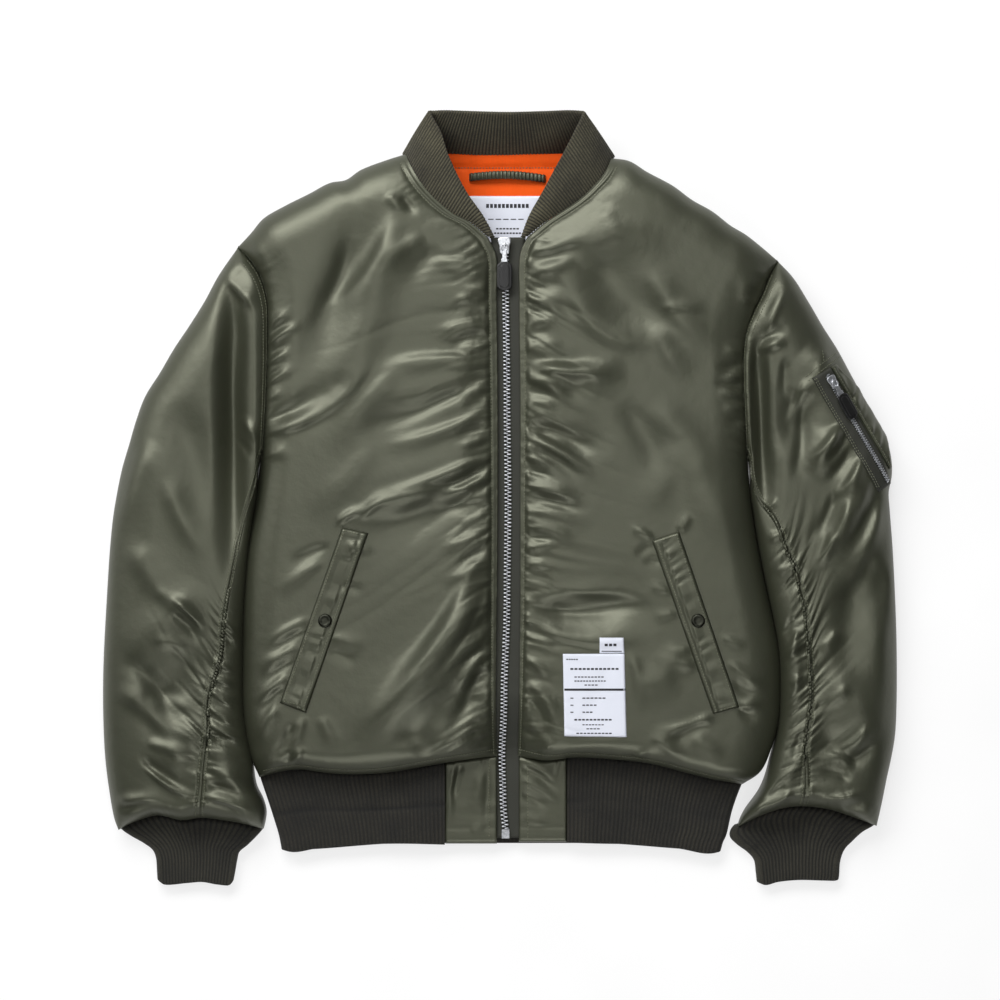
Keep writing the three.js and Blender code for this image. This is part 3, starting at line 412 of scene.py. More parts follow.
def satin_nylon(name, dark, light, shine, roughness, crinkle):
    """Filament nylon woven as a flight satin: a silky sheen that runs over its folds, with faint
    slubs along the warp and the small soft crinkles that wadding leaves behind it."""
    material, tree, shader = blank(name, [("Roughness", roughness), ("IOR", 1.75),
                                          ("Specular Tint", linear(shine))])
    place = node(tree, "ShaderNodeTexCoord").outputs
    patches = node(tree, "ShaderNodeTexNoise", [("Scale", 9.0), ("Detail", 2.0)],
                   [("Vector", place["Object"])])
    ramp = node(tree, "ShaderNodeValToRGB", links=[("Fac", patches.outputs["Fac"])])
    stops(ramp, [(0.3, dark), (0.7, light)])
    # The warp is 0.15 mm apart, too fine to show, so slubs are drawn 1.1 mm across.
    stretched = node(tree, "ShaderNodeMapping", [("Scale", (900.0, 90.0, 1.0))],
                     [("Vector", place["UV"])])
    slubs = node(tree, "ShaderNodeTexNoise", [("Scale", 1.0), ("Detail", 1.0)],
                 [("Vector", stretched.outputs["Vector"])])
    tone = node(tree, "ShaderNodeMix", [("data_type", "RGBA"), ("blend_type", "MULTIPLY"),
                                        ("Factor", 0.16)],
                [("A", ramp.outputs["Color"]), ("B", slubs.outputs["Color"])])
    tree.links.new(tone.outputs["Result"], shader.inputs["Base Color"])
    crinkles = node(tree, "ShaderNodeTexNoise", [("Scale", 85.0), ("Detail", 3.0), ("Roughness", 0.55)],
                    [("Vector", place["Object"])])
    soft = node(tree, "ShaderNodeBump", [("Strength", crinkle), ("Distance", 0.0012)],
                [("Height", crinkles.outputs["Fac"])])
    weave = node(tree, "ShaderNodeBump", [("Strength", 0.10), ("Distance", 0.0002)],
                 [("Height", slubs.outputs["Fac"]), ("Normal", soft.outputs["Normal"])])
    tree.links.new(weave.outputs["Normal"], shader.inputs["Normal"])
    return material


def rib_knit(name, dark, light):
    """Wool-blend rib knit: matt and slightly fuzzy, each rib a chain of small stitches."""
    material, tree, shader = blank(name, [("Roughness", 0.92), ("IOR", 1.5), ("Sheen Weight", 0.04),
                                          ("Sheen Roughness", 0.6)])
    place = node(tree, "ShaderNodeTexCoord").outputs
    # Stitches of about 0.9 mm are drawn 1.6 mm long, so that they still show.
    courses = node(tree, "ShaderNodeTexWave", [("wave_type", "BANDS"), ("bands_direction", "Y"),
                                               ("Scale", 200.0), ("Distortion", 2.2),
                                               ("Detail", 2.0), ("Detail Scale", 2.0)],
                   [("Vector", place["UV"])])
    fuzz = node(tree, "ShaderNodeTexNoise", [("Scale", 700.0), ("Detail", 3.0)],
                [("Vector", place["Object"])])
    worn = node(tree, "ShaderNodeTexNoise", [("Scale", 30.0), ("Detail", 3.0)],
                [("Vector", place["Object"])])
    mixed = node(tree, "ShaderNodeMix", [("data_type", "FLOAT"), ("Factor", 0.45)],
                 [("A", fuzz.outputs["Fac"]), ("B", worn.outputs["Fac"])])
    ramp = node(tree, "ShaderNodeValToRGB", links=[("Fac", mixed.outputs["Result"])])
    stops(ramp, [(0.35, dark), (0.65, light)])
    # Painted shade: the colour is darkened towards near-black by a value kept on the mesh, high between two
    # ribs, where the purl side sinks out of the light.
    painted_shade = node(tree, "ShaderNodeAttribute", [("attribute_name", "painted_shade")])
    shaded = node(tree, "ShaderNodeMix", [("data_type", "RGBA"), ("B", linear("#0b0b08"))],
                  [("Factor", painted_shade.outputs["Fac"]), ("A", ramp.outputs["Color"])])
    tree.links.new(shaded.outputs["Result"], shader.inputs["Base Color"])
    stitches = node(tree, "ShaderNodeBump", [("Strength", 0.35), ("Distance", 0.0005)],
                    [("Height", courses.outputs["Fac"])])
    hairs = node(tree, "ShaderNodeBump", [("Strength", 0.35), ("Distance", 0.0004)],
                 [("Height", fuzz.outputs["Fac"]), ("Normal", stitches.outputs["Normal"])])
    tree.links.new(hairs.outputs["Normal"], shader.inputs["Normal"])
    return material


def woven_tape(name, dark, light):
    """Polyester zip tape in a herringbone: matt, with fine slanted threads."""
    material, tree, shader = blank(name, [("Roughness", 0.8), ("IOR", 1.5)])
    place = node(tree, "ShaderNodeTexCoord").outputs
    # Threads of 0.3 mm are drawn 1.2 mm apart, so that the slant shows.
    slanted = node(tree, "ShaderNodeMapping", [("Rotation", (0.0, 0.0, 0.7))], [("Vector", place["Object"])])
    threads = node(tree, "ShaderNodeTexWave", [("Scale", 260.0), ("Distortion", 0.6)],
                   [("Vector", slanted.outputs["Vector"])])
    ramp = node(tree, "ShaderNodeValToRGB", links=[("Fac", threads.outputs["Fac"])])
    stops(ramp, [(0.2, dark), (0.8, light)])
    tree.links.new(ramp.outputs["Color"], shader.inputs["Base Color"])
    raised = node(tree, "ShaderNodeBump", [("Strength", 0.4), ("Distance", 0.0003)],
                  [("Height", threads.outputs["Fac"])])
    tree.links.new(raised.outputs["Normal"], shader.inputs["Normal"])
    return material


def polished_metal(name, dark, light, roughness):
    """Die-cast or stamped zip metal: bright plating with fine rubs along its edges."""
    material, tree, shader = blank(name, [("Metallic", 1.0), ("Roughness", roughness)])
    place = node(tree, "ShaderNodeTexCoord").outputs
    rubs = node(tree, "ShaderNodeTexNoise", [("Scale", 400.0), ("Detail", 3.0)],
                [("Vector", place["Object"])])
    ramp = node(tree, "ShaderNodeValToRGB", links=[("Fac", rubs.outputs["Fac"])])
    stops(ramp, [(0.3, dark), (0.7, light)])
    tree.links.new(ramp.outputs["Color"], shader.inputs["Base Color"])
    scuffed = node(tree, "ShaderNodeBump", [("Strength", 0.15), ("Distance", 0.0002)],
                   [("Height", rubs.outputs["Fac"])])
    tree.links.new(scuffed.outputs["Normal"], shader.inputs["Normal"])
    return material


def grained_leather(name, dark, light):
    """Black grained leather: low gloss over small closed cells."""
    material, tree, shader = blank(name, [("Roughness", 0.42), ("IOR", 1.5)])
    place = node(tree, "ShaderNodeTexCoord").outputs
    grain = node(tree, "ShaderNodeTexVoronoi", [("Scale", 900.0)], [("Vector", place["Object"])])
    ramp = node(tree, "ShaderNodeValToRGB", links=[("Fac", grain.outputs["Distance"])])
    stops(ramp, [(0.1, dark), (0.8, light)])
    tree.links.new(ramp.outputs["Color"], shader.inputs["Base Color"])
    cells = node(tree, "ShaderNodeBump", [("Strength", 0.5), ("Distance", 0.0003)],
                 [("Height", grain.outputs["Distance"])])
    tree.links.new(cells.outputs["Normal"], shader.inputs["Normal"])
    return material


def label_satin(name, dark, light):
    """White polyester label ribbon: smooth and faintly lined along its weft."""
    material, tree, shader = blank(name, [("Roughness", 0.5), ("IOR", 1.5)])
    place = node(tree, "ShaderNodeTexCoord").outputs
    lines = node(tree, "ShaderNodeTexWave", [("bands_direction", "Y"), ("Scale", 320.0),
                                             ("Distortion", 0.5)], [("Vector", place["Object"])])
    ramp = node(tree, "ShaderNodeValToRGB", links=[("Fac", lines.outputs["Fac"])])
    stops(ramp, [(0.2, dark), (0.8, light)])
    tree.links.new(ramp.outputs["Color"], shader.inputs["Base Color"])
    weft = node(tree, "ShaderNodeBump", [("Strength", 0.12), ("Distance", 0.0002)],
                [("Height", lines.outputs["Fac"])])
    tree.links.new(weft.outputs["Normal"], shader.inputs["Normal"])
    return material


def printing_ink(name, dark, light):
    """Screen-printed ink on ribbon: dull, a little uneven where it sank in."""
    material, tree, shader = blank(name, [("Roughness", 0.7), ("IOR", 1.5)])
    place = node(tree, "ShaderNodeTexCoord").outputs
    uneven = node(tree, "ShaderNodeTexNoise", [("Scale", 900.0)], [("Vector", place["Object"])])
    ramp = node(tree, "ShaderNodeValToRGB", links=[("Fac", uneven.outputs["Fac"])])
    stops(ramp, [(0.4, dark), (0.6, light)])
    tree.links.new(ramp.outputs["Color"], shader.inputs["Base Color"])
    return material


def sewing_thread(name, dark, light):
    """Spun polyester thread, lightly twisted, a shade paler than the cloth it holds."""
    material, tree, shader = blank(name, [("Roughness", 0.65), ("IOR", 1.5), ("Sheen Weight", 0.2)])
    place = node(tree, "ShaderNodeTexCoord").outputs
    twist = node(tree, "ShaderNodeTexNoise", [("Scale", 1500.0)], [("Vector", place["Object"])])
    ramp = node(tree, "ShaderNodeValToRGB", links=[("Fac", twist.outputs["Fac"])])
    stops(ramp, [(0.35, dark), (0.65, light)])
    tree.links.new(ramp.outputs["Color"], shader.inputs["Base Color"])
    return material


def light_table(name, dark, light):
    """A white light table for the jacket to lie on: matt, and faintly lit from below."""
    material, tree, shader = blank(name, [("Roughness", 0.9), ("IOR", 1.5), ("Emission Strength", 0.7),
                                          ("Emission Color", linear("#ffffff"))])
    place = node(tree, "ShaderNodeTexCoord").outputs
    roller = node(tree, "ShaderNodeTexNoise", [("Scale", 6.0), ("Detail", 2.0)],
                  [("Vector", place["Object"])])
    ramp = node(tree, "ShaderNodeValToRGB", links=[("Fac", roller.outputs["Fac"])])
    stops(ramp, [(0.3, dark), (0.7, light)])
    tree.links.new(ramp.outputs["Color"], shader.inputs["Base Color"])
    return material


SHELL = satin_nylon("flight satin nylon", "#282a20", "#303227", "#fafce2", 0.46, 0.3)
LINING = satin_nylon("orange nylon lining", "#e24a0a", "#ee5613", "#ff9a60", 0.6, 0.3)
KNIT = rib_knit("olive rib knit", "#13120d", "#302e24")
# Painted shade: the hem band's knit is the cuffs' knit, painted darker.
HEM_KNIT_PAINTED_SHADE = rib_knit("olive rib knit painted darker", "#0d0c08", "#2a271e")
# Painted light: the collar's knit is the cuffs' knit, painted lighter.
COLLAR_KNIT_PAINTED_LIGHT = rib_knit("olive rib knit painted lighter", "#302d22", "#5a5642")
TAPE = woven_tape("zip tape", "#22231d", "#32332a")
STEEL = polished_metal("nickel plated zinc", "#a8aaae", "#d2d4d8", 0.38)
GUNMETAL = polished_metal("gunmetal plated brass", "#24251f", "#3a3b34", 0.42)
LEATHER = grained_leather("black grained leather", "#040404", "#0d0d0c")
LABEL = label_satin("label ribbon", "#ced2de", "#dfe2ec")
INK = printing_ink("black label ink", "#16161a", "#2c2c32")
THREAD = sewing_thread("olive sewing thread", "#4c4f3c", "#666950")
BOARD = light_table("white light table", "#8a8a8a", "#909090")


# Fronts and back

HEM_SEAM = curve([
    (-242, -279), (-220, -273), (-200, -271), (-178, -274), (-150, -276), (-112, -274), (-70, -267),
    (-40, -262), (-5, -258), (18, -258), (45, -262), (75, -259), (115, -261), (150, -265),
    (190, -275), (215, -281), (244, -286)])
BODY = {
    "right": {
        "out": -1,
        "hem": (0, 0.492),
        "side": curve([
            (-242, -279), (-252, -255), (-259, -215), (-260, -160), (-259, -110), (-255, -60),
            (-248, -15), (-242, 30), (-237, 70), (-234, 120), (-233, 165), (-234, 200), (-242, 226),
            (-253, 242), (-264, 254)]),
        "shoulder": curve([
            (-264, 254), (-250, 269), (-238, 283), (-216, 296), (-192, 308), (-171, 319), (-155, 322),
            (-140, 332), (-111, 343), (-95, 348)]),
        "neckline": curve([
            (-12, 262), (-30, 277), (-47, 286), (-62, 298), (-76, 313), (-87, 330), (-95, 348)]),
        "zip_edge": curve([
            (-3, -258), (-4, -200), (-3, -100), (-2, 0), (-2, 100), (-3, 200), (-4, 246), (-12, 262)]),
    },
    "left": {
        "out": 1,
        "hem": (1, 0.535),
        "side": curve([
            (244, -286), (262, -273), (273, -250), (280, -225), (283, -195), (282, -160), (276, -125),
            (268, -90), (260, -50), (253, -5), (249, 40), (246, 80), (244, 120), (244, 150),
            (247, 170), (254, 188), (263, 206), (271, 225), (280, 240)]),
        "shoulder": curve([
            (280, 240), (266, 252), (247, 267), (232, 276), (214, 290), (193, 302), (174, 316),
            (148, 330), (130, 341), (112, 344)]),
        "neckline": curve([
            (27, 262), (45, 277), (62, 288), (78, 299), (94, 314), (105, 328), (112, 344)]),
        "zip_edge": curve([
            (18, -258), (19, -200), (20, -100), (20, 0), (20, 100), (19, 200), (20, 246), (27, 262)]),
    },
}
# The largest folds, which the part's solids have too
LARGE_FOLDS = [
    (-130, 300, -215, 95, 10, 24, 20, -7, 0), (-95, 285, -165, 60, -6, 18, 26, 5, 0),
    (-12, 130, -150, 95, 5, 18, 22, 5, 0), (-12, 48, -160, 0, -4, 17, 22, 5, 0),
    (-12, -82, -160, -250, 12, 17, 24, 9, 0), (-12, -12, -150, -50, -10, 18, 22, -5, 0),
    (95, 258, 200, 180, -30, 22, 24, -6, 0), (70, 245, 175, 240, 22, 18, 20, 5, 0),
    (27, 132, 130, 128, -4, 17, 20, 6, 0), (27, 70, 110, 38, 8, 17, 20, -5, 0),
    (27, -110, 165, -86, -14, 18, 24, -7, 0), (190, 60, 245, -60, -8, 20, 22, 4, 0),
]
CREASES = {
    "right": [
        # off the zip, from the neck down
        (-13, 238, -74, 240, 3, 4, 8, 2.6, 0.2), (-13, 224, -64, 228, -2, 4, 7, 2.2, 0.2),
        (-13, 211, -42, 210, 0, 3, 5, 1.5, 0), (-13, 199, -50, 203, 2, 3, 6, 2.0, 0),
        (-13, 187, -36, 186, 0, 3, 5, -1.5, 0), (-13, 177, -68, 160, -5, 4, 9, 3.6, 0.3),
        (-13, 166, -54, 149, -3, 4, 7, -2.2, 0), (-13, 154, -44, 152, 2, 3, 6, 1.9, 0),
        (-13, 138, -138, 122, -9, 5, 14, 5.2, 0.3), (-13, 125, -152, 70, 9, 5, 14, -5.2, -0.2),
        (-13, 112, -46, 103, 1, 3, 6, 2.2, 0), (-13, 101, -40, 91, 0, 3, 5, -1.8, 0),
        (-13, 90, -132, 50, 6, 5, 12, 4.4, 0.3), (-13, 76, -46, 64, 0, 3, 6, -2.0, 0),
        (-13, 63, -48, 50, 1, 3, 6, 2.2, 0), (-13, 46, -152, -4, 6, 5, 13, 5.4, 0.3),
        (-13, 34, -92, -2, 4, 4, 9, -3.8, 0), (-13, 22, -50, 11, 1, 3, 6, 2.0, 0),
        (-13, 10, -175, -30, -13, 5, 12, 5.0, 0.3), (-13, -4, -74, -15, -2, 4, 8, -3.0, 0),
        (-13, -15, -46, -25, 0, 3, 6, 2.2, 0), (-13, -32, -62, -48, 2, 4, 8, 3.0, 0.2),
        (-13, -47, -44, -62, 1, 3, 6, -1.9, 0), (-13, -58, -60, -82, 3, 4, 8, 2.8, 0.2),
        (-20, -56, -148, -242, 14, 13, 20, 8.0, 0.35), (-13, -96, -118, -226, 16, 5, 11, 2.8, 0.3),
        (-13, -84, -106, -196, 18, 4, 9, -2.4, 0), (-13, -112, -42, -142, 3, 3, 6, -2.2, 0),
        (-13, -128, -38, -154, 2, 3, 6, 2.2, 0), (-13, -150, -42, -198, -5, 4, 8, 4.0, 0.2),
        (-13, -165, -38, -226, -6, 5, 9, -4.2, 0), (-13, -190, -52, -244, -8, 6, 10, -3.4, 0),
        (-14, -232, -34, -250, 0, 3, 5, 2.0, 0),
        # the neck and the chest
        (-100, 303, -84, 281, 2, 4, 5, -2.6, 0), (-112, 306, -93, 287, -2, 5, 6, 2.4, 0),
        (-104, 292, -200, 176, 22, 10, 14, 4.2, 0.25), (-74, 262, -120, 230, -3, 8, 10, 3.0, 0),
        (-150, 262, -196, 160, 8, 9, 12, -4.0, 0.2), (-60, 254, -100, 215, 2, 7, 10, -2.4, 0),
        (-100, 132, -165, 40, -6, 10, 16, 3.6, 0.2), (-150, 130, -205, 60, 4, 10, 14, -3.4, 0),
        (-120, 60, -195, -20, 4, 12, 16, 3.2, 0), (-60, 5, -120, -22, -4, 6, 9, 2.6, 0.2),
        # the armhole
        (-232, 172, -208, 186, 2, 3, 5, 2.4, 0), (-232, 162, -200, 178, 3, 3, 6, -2.2, 0),
        (-232, 154, -196, 174, 3, 3, 6, 3.2, 0.2), (-233, 142, -206, 156, 2, 3, 5, -2.2, 0),
        (-233, 134, -206, 148, 2, 3, 5, 2.4, 0), (-234, 122, -212, 130, 1, 3, 5, -1.8, 0),
        (-234, 113, -200, 131, 3, 3, 6, 2.8, 0.2), (-236, 98, -214, 108, 1, 3, 5, 1.8, 0),
        (-237, 80, -168, 128, -10, 5, 12, -4.6, 0), (-238, 66, -122, 158, -22, 5, 13, 5.2, 0.3),
        (-240, 48, -205, 52, -3, 4, 8, 2.2, 0), (-255, 270, -226, 196, 5, 5, 9, 2.2, 0),
        # round the welt and down to the hem
        (-160, -25, -134, -13, 5, 3, 5, 3.6, 0.2), (-138, -20, -108, 4, 3, 4, 7, 2.8, 0.2),
        (-170, -46, -212, -70, -3, 4, 8, -2.6, 0), (-176, -62, -222, -98, -4, 4, 9, 2.4, 0),
        (-190, -118, -232, -146, -3, 4, 8, 2.8, 0.2), (-194, -130, -230, -158, -3, 3, 7, -2.6, 0),
        (-200, -146, -240, -172, -3, 4, 8, 2.8, 0), (-205, -160, -238, -186, -2, 3, 7, -2.6, 0),
        (-210, -174, -240, -206, -3, 4, 8, 3.0, 0.2), (-216, -186, -240, -216, -2, 3, 7, -3.4, 0),
        (-220, -204, -244, -250, -4, 5, 8, 3.8, 0.2), (-206, -222, -228, -262, 3, 4, 7, -4.0, 0),
        (-196, -214, -214, -252, 3, 4, 7, 2.8, 0), (-178, -214, -160, -248, -2, 5, 8, 2.2, 0),
        (-150, -46, -124, -54, 2, 3, 6, 1.8, 0), (-160, -86, -134, -92, 1, 3, 6, -1.6, 0),
        (-170, -136, -132, -150, 2, 4, 8, 2.2, 0), (-172, -150, -140, -166, 2, 4, 7, -1.8, 0),
        (-66, -262, -110, -216, -6, 12, 14, -4.0, 0), (-204, -262, -196, -244, 0, 4, 4, 3.2, 0),
        (-214, -263, -206, -248, 0, 3, 4, -2.6, 0),
    ],
    "left": [
        # off the zip, from the neck down
        (27, 246, 96, 268, -3, 4, 9, 2.8, 0.2), (27, 236, 88, 256, -2, 4, 8, -2.2, 0),
        (27, 224, 78, 240, -2, 4, 8, 2.4, 0.2), (27, 211, 66, 218, -1, 3, 7, -2.0, 0),
        (27, 200, 74, 203, -2, 4, 8, 2.2, 0), (27, 188, 56, 190, 0, 3, 6, -1.6, 0),
        (27, 176, 60, 180, 0, 3, 6, 2.0, 0), (27, 166, 50, 168, 0, 3, 5, -1.6, 0),
        (27, 155, 64, 152, 1, 3, 7, 2.0, 0), (27, 142, 118, 140, -3, 4, 12, -4.2, 0),
        (27, 130, 132, 130, -2, 4, 14, 4.8, 0.3), (27, 119, 70, 114, 1, 3, 8, 2.0, 0),
        (27, 108, 62, 101, 1, 3, 6, -2.0, 0), (27, 98, 60, 92, 1, 3, 6, 2.2, 0),
        (27, 88, 92, 58, 4, 4, 9, 3.0, 0.2), (27, 76, 104, 40, 4, 4, 10, -3.8, 0),
        (27, 62, 98, 22, 4, 4, 9, 4.8, 0.3), (27, 52, 86, 18, 3, 3, 8, -3.6, 0),
        (27, 42, 54, 34, 1, 3, 6, 1.8, 0), (27, 28, 50, 24, 0, 3, 6, -1.6, 0),
        (27, 14, 82, -2, 3, 4, 9, 3.8, 0.3), (27, 2, 92, -16, 3, 4, 9, -3.4, 0),
        (27, -10, 96, -22, 2, 4, 9, 2.4, 0), (27, -26, 78, -40, 2, 3, 8, 2.8, 0.2),
        (27, -36, 66, -36, -2, 3, 7, -2.0, 0), (27, -47, 64, -40, -1, 3, 7, 2.6, 0.2),
        (27, -62, 50, -66, 0, 3, 6, 1.8, 0), (27, -76, 54, -78, 0, 3, 6, -1.6, 0),
        (27, -94, 80, -88, -2, 4, 8, 2.0, 0), (30, -109, 164, -90, -10, 6, 14, -5.0, 0.2),
        (30, -124, 150, -132, -12, 5, 12, 4.6, 0.3), (60, -92, 172, -104, 5, 6, 11, 3.4, 0.2),
        (27, -140, 56, -146, 1, 3, 6, 2.0, 0), (27, -158, 50, -178, 2, 3, 6, 2.4, 0),
        (27, -180, 60, -226, 4, 4, 9, 3.2, 0.2), (27, -196, 50, -236, 3, 3, 7, -2.6, 0),
        (27, -222, 48, -246, 2, 3, 6, 2.2, 0), (38, -254, 54, -240, 0, 3, 4, 2.6, 0),
        # the chest and the shoulder
        (66, 226, 188, 176, -42, 12, 15, 4.2, 0.3), (150, 232, 222, 150, -12, 12, 18, 4.4, 0.2),
        (160, 190, 208, 187, 2, 5, 7, 2.2, 0.4), (158, 178, 196, 120, -10, 10, 15, 2.8, 0.2),
        (100, 292, 120, 250, 2, 10, 14, 2.6, 0),
        (90, 126, 60, 100, 2, 8, 12, -2.6, 0), (150, 96, 212, 20, 6, 14, 20, 3.0, 0),
        (120, 100, 170, 10, 4, 12, 16, -2.8, 0), (176, 60, 140, -20, 3, 12, 16, 2.4, 0),
        # the armhole
        (244, 148, 222, 152, 1, 3, 6, 2.4, 0), (244, 138, 214, 128, 1, 3, 7, -3.4, 0),
        (244, 128, 216, 118, 1, 3, 6, 2.6, 0.2), (244, 114, 212, 116, -1, 3, 6, -2.6, 0),
        (245, 104, 214, 108, -1, 3, 6, 2.6, 0), (245, 92, 220, 92, 0, 3, 6, 2.0, 0),
        (246, 80, 224, 76, 0, 3, 6, -1.8, 0), (246, 190, 250, 232, 2, 6, 9, 2.2, 0),
        # round the welt and down to the hem
        (152, -38, 128, -28, -2, 3, 5, 2.6, 0.2), (152, -42, 132, -56, 2, 3, 5, -2.0, 0),
        (178, -32, 190, -12, 0, 3, 5, 2.8, 0), (162, -62, 140, -60, 0, 3, 6, -1.8, 0),
        (170, -92, 148, -84, 0, 3, 6, 1.8, 0), (176, -112, 152, -118, 0, 3, 6, 1.8, 0),
        (190, -150, 162, -152, -1, 3, 7, 2.6, 0), (196, -166, 150, -160, -3, 5, 12, 3.2, 0.2),
        (212, -212, 150, -230, 5, 4, 8, 4.4, 0.35), (208, -222, 166, -246, -4, 5, 8, -4.0, 0),
        (150, -236, 182, -262, 3, 6, 9, 3.0, 0.2), (238, -206, 262, -198, 0, 4, 7, 3.0, 0),
        (238, -208, 258, -222, 0, 4, 7, -2.4, 0), (232, -180, 262, -200, -2, 4, 8, -2.2, 0),
        (228, -160, 268, -186, -4, 4, 9, 2.8, 0.2), (222, -136, 246, -146, -1, 3, 7, 1.8, 0),
        (190, -236, 224, -262, 2, 8, 12, 2.6, 0), (60, -250, 130, -246, 3, 6, 10, 2.0, 0),
        (134, -256, 150, -250, 0, 3, 4, 2.6, 0), (124, -258, 138, -254, 0, 3, 4, -2.0, 0),
        (140, -186, 180, -170, 0, 12, 16, 2.8, 0), (130, -150, 142, -214, 2, 5, 8, 2.0, 0),
    ],
}
# Columns at a rounded edge, from under it to its widest point: inset, height, inset at an armhole
UNDER = [(TURN_UNDER, 0, 0), (6, 0, 0.5), (3, 1.2, 0.75), (1.5, 4, 1), (0.5, 8, 1.25),
         (0, SEAM_HEIGHT, 1.5)]


def armhole_height(y):
    return lerp(SEAM_HEIGHT, ARMHOLE_HEIGHT, smooth(28, 85, y) * (1 - smooth(170, 250, y)))


def at_armhole(y):
    """0 where a side of the body wraps under, 1 where it ends at the armhole."""
    return smooth(20, 50, y)


class Front:
    """The upper surface of one front: u runs from its side to the zip, v from hem to shoulder."""

    def __init__(self, side):
        half = BODY[side]
        self.side = half["side"]
        self.name = side
        self.out = half["out"]
        self.inner = joined(half["zip_edge"], half["neckline"], NECK_SHARE)
        corner = self.inner(0.0)

        def hem(u):
            return lerp(HEM_SEAM(lerp(*half["hem"], u)), corner, smooth(0.9, 1, u)[..., None])
        self.plan = patch(self.side, self.inner, hem, half["shoulder"])
        self.folds = fold_field(LARGE_FOLDS + CREASES[side])

    def width(self, v):
        return np.linalg.norm(self.side(v) - self.inner(v), axis=-1)

    def relief(self, x, y, v, side_inset, zip_inset):
        """Folds, gathers and sewn lines over the smooth form."""
        hem_inset = v * FRONT_LENGTH
        stitch = ZIP_STITCH[self.name]
        at_zip = 1 - smooth(NECK_SHARE - 0.01, NECK_SHARE + 0.02, v)
        held = smooth(stitch - 0.5, stitch + 5, zip_inset)
        seed = 10 if self.out < 0 else 40
        past = zip_inset - stitch
        total = held * self.folds(x, y)
        slant = lerp(0.25, 0.7, 1 - smooth(-60, 90, y)) if self.out < 0 else lerp(0.15, 0.55, smooth(-90, 60, y))
        total += at_zip * puckers(seed, y, past, 4.8, 16, 1.5, 0.35) * (past > 0)
        total += at_zip * held * puckers(seed + 5, y, past, 9, 34, 2.0, slant)
        total += at_zip * held * puckers(seed + 7, y, past, 23, 80, 1.3, slant)
        total += at_zip * 0.45 * noise(seed + 9)(y / 2.6) * smooth(0, 3, zip_inset) * (past <= 0)
        total += at_zip * (1.0 * smooth(0, 5, past) - 0.7 * bump(past, 0, 1.2))
        armhole = at_armhole(y) * (1 - smooth(235, 262, y))
        total += armhole * puckers(seed + 12, y, side_inset, 4.8, 13, 1.5, -0.3)
        total += puckers(seed + 15, x, hem_inset, 6.5, 12, 0.8, 0.2) * (1 - at_zip * bump(zip_inset, 0, 14))
        at_neck = 1 - at_zip
        total += 1.3 * bump(hem_inset, 2.8, 2.0) - 1.1 * bump(hem_inset, 6.8, 1.3)
        total += at_neck * (0.9 * bump(zip_inset, PIPING_INSET, 1.6) - 0.8 * bump(zip_inset, 8.6, 1.4)
                            - 0.5 * bump(zip_inset, 2.4, 1.2) + 0.6 * smooth(9, 15, zip_inset))
        total += at_neck * puckers(seed + 18, v * FRONT_LENGTH, zip_inset - 8.6, 7, 14, 0.6, 0.2) \
            * (zip_inset > 8.6)
        return total

    def point(self, u, v, shoulder_inset=None):
        u, v = np.broadcast_arrays(np.asarray(u, float), np.asarray(v, float))
        p = self.plan(u, v)
        x, y = p[..., 0], p[..., 1]
        width = self.width(v)
        side_inset, zip_inset, hem_inset = u * width, (1 - u) * width, v * FRONT_LENGTH
        if shoulder_inset is None:
            shoulder_inset = (1 - v) * FRONT_LENGTH
        near_zip = np.exp(-((zip_inset / 20) ** 2))
        hem_roll = lerp(roll(hem_inset, HEM_ROLL), smooth(-2, 62, hem_inset), near_zip)
        held = roll(side_inset, EDGE_ROLL) * roll(shoulder_inset, EDGE_ROLL) * hem_roll
        base = lerp(armhole_height(y), SEAM_HEIGHT, smooth(0, 60, side_inset))
        free = smooth(0, 24, shoulder_inset)
        crown = lerp(BODY_CROWN, ZIP_EDGE_HEIGHT, near_zip)
        seam = np.minimum(1, 0.25 + held) * free
        z = base + (crown - base) * held + seam * self.relief(x, y, v, side_inset, zip_inset)
        z = z - 1.6 * (1 - roll(zip_inset, 1.6)) * (v < NECK_SHARE)
        return np.concatenate([p, z[..., None]], axis=-1)


def spread(start, end, step):
    """Even places from start to end, the start left out."""
    count = max(2, round(abs(end - start) / step))
    return np.linspace(start, end, count + 1)[1:]


def eased(radius, count):
    """Insets that crowd towards a rounded edge."""
    return radius * (1 - np.cos(np.linspace(0, math.pi / 2, count + 1)[1:]))


FRONT_STEP = 2.0
FRONT_LINES = np.concatenate([
    [0], eased(12, 8) / FRONT_LENGTH,
    spread(12 / FRONT_LENGTH, 1 - 24 / FRONT_LENGTH, FRONT_STEP / FRONT_LENGTH),
    1 - eased(24, 9)[::-1][1:] / FRONT_LENGTH])
SIDE_INSETS = eased(30, 12)
ZIP_INSETS = np.concatenate([[52], 52 - spread(0, 50.4, 1.4), [0.9, 0.3, 0]])
MIDDLE_COLUMNS = np.linspace(0, 1, 58)[1:-1]


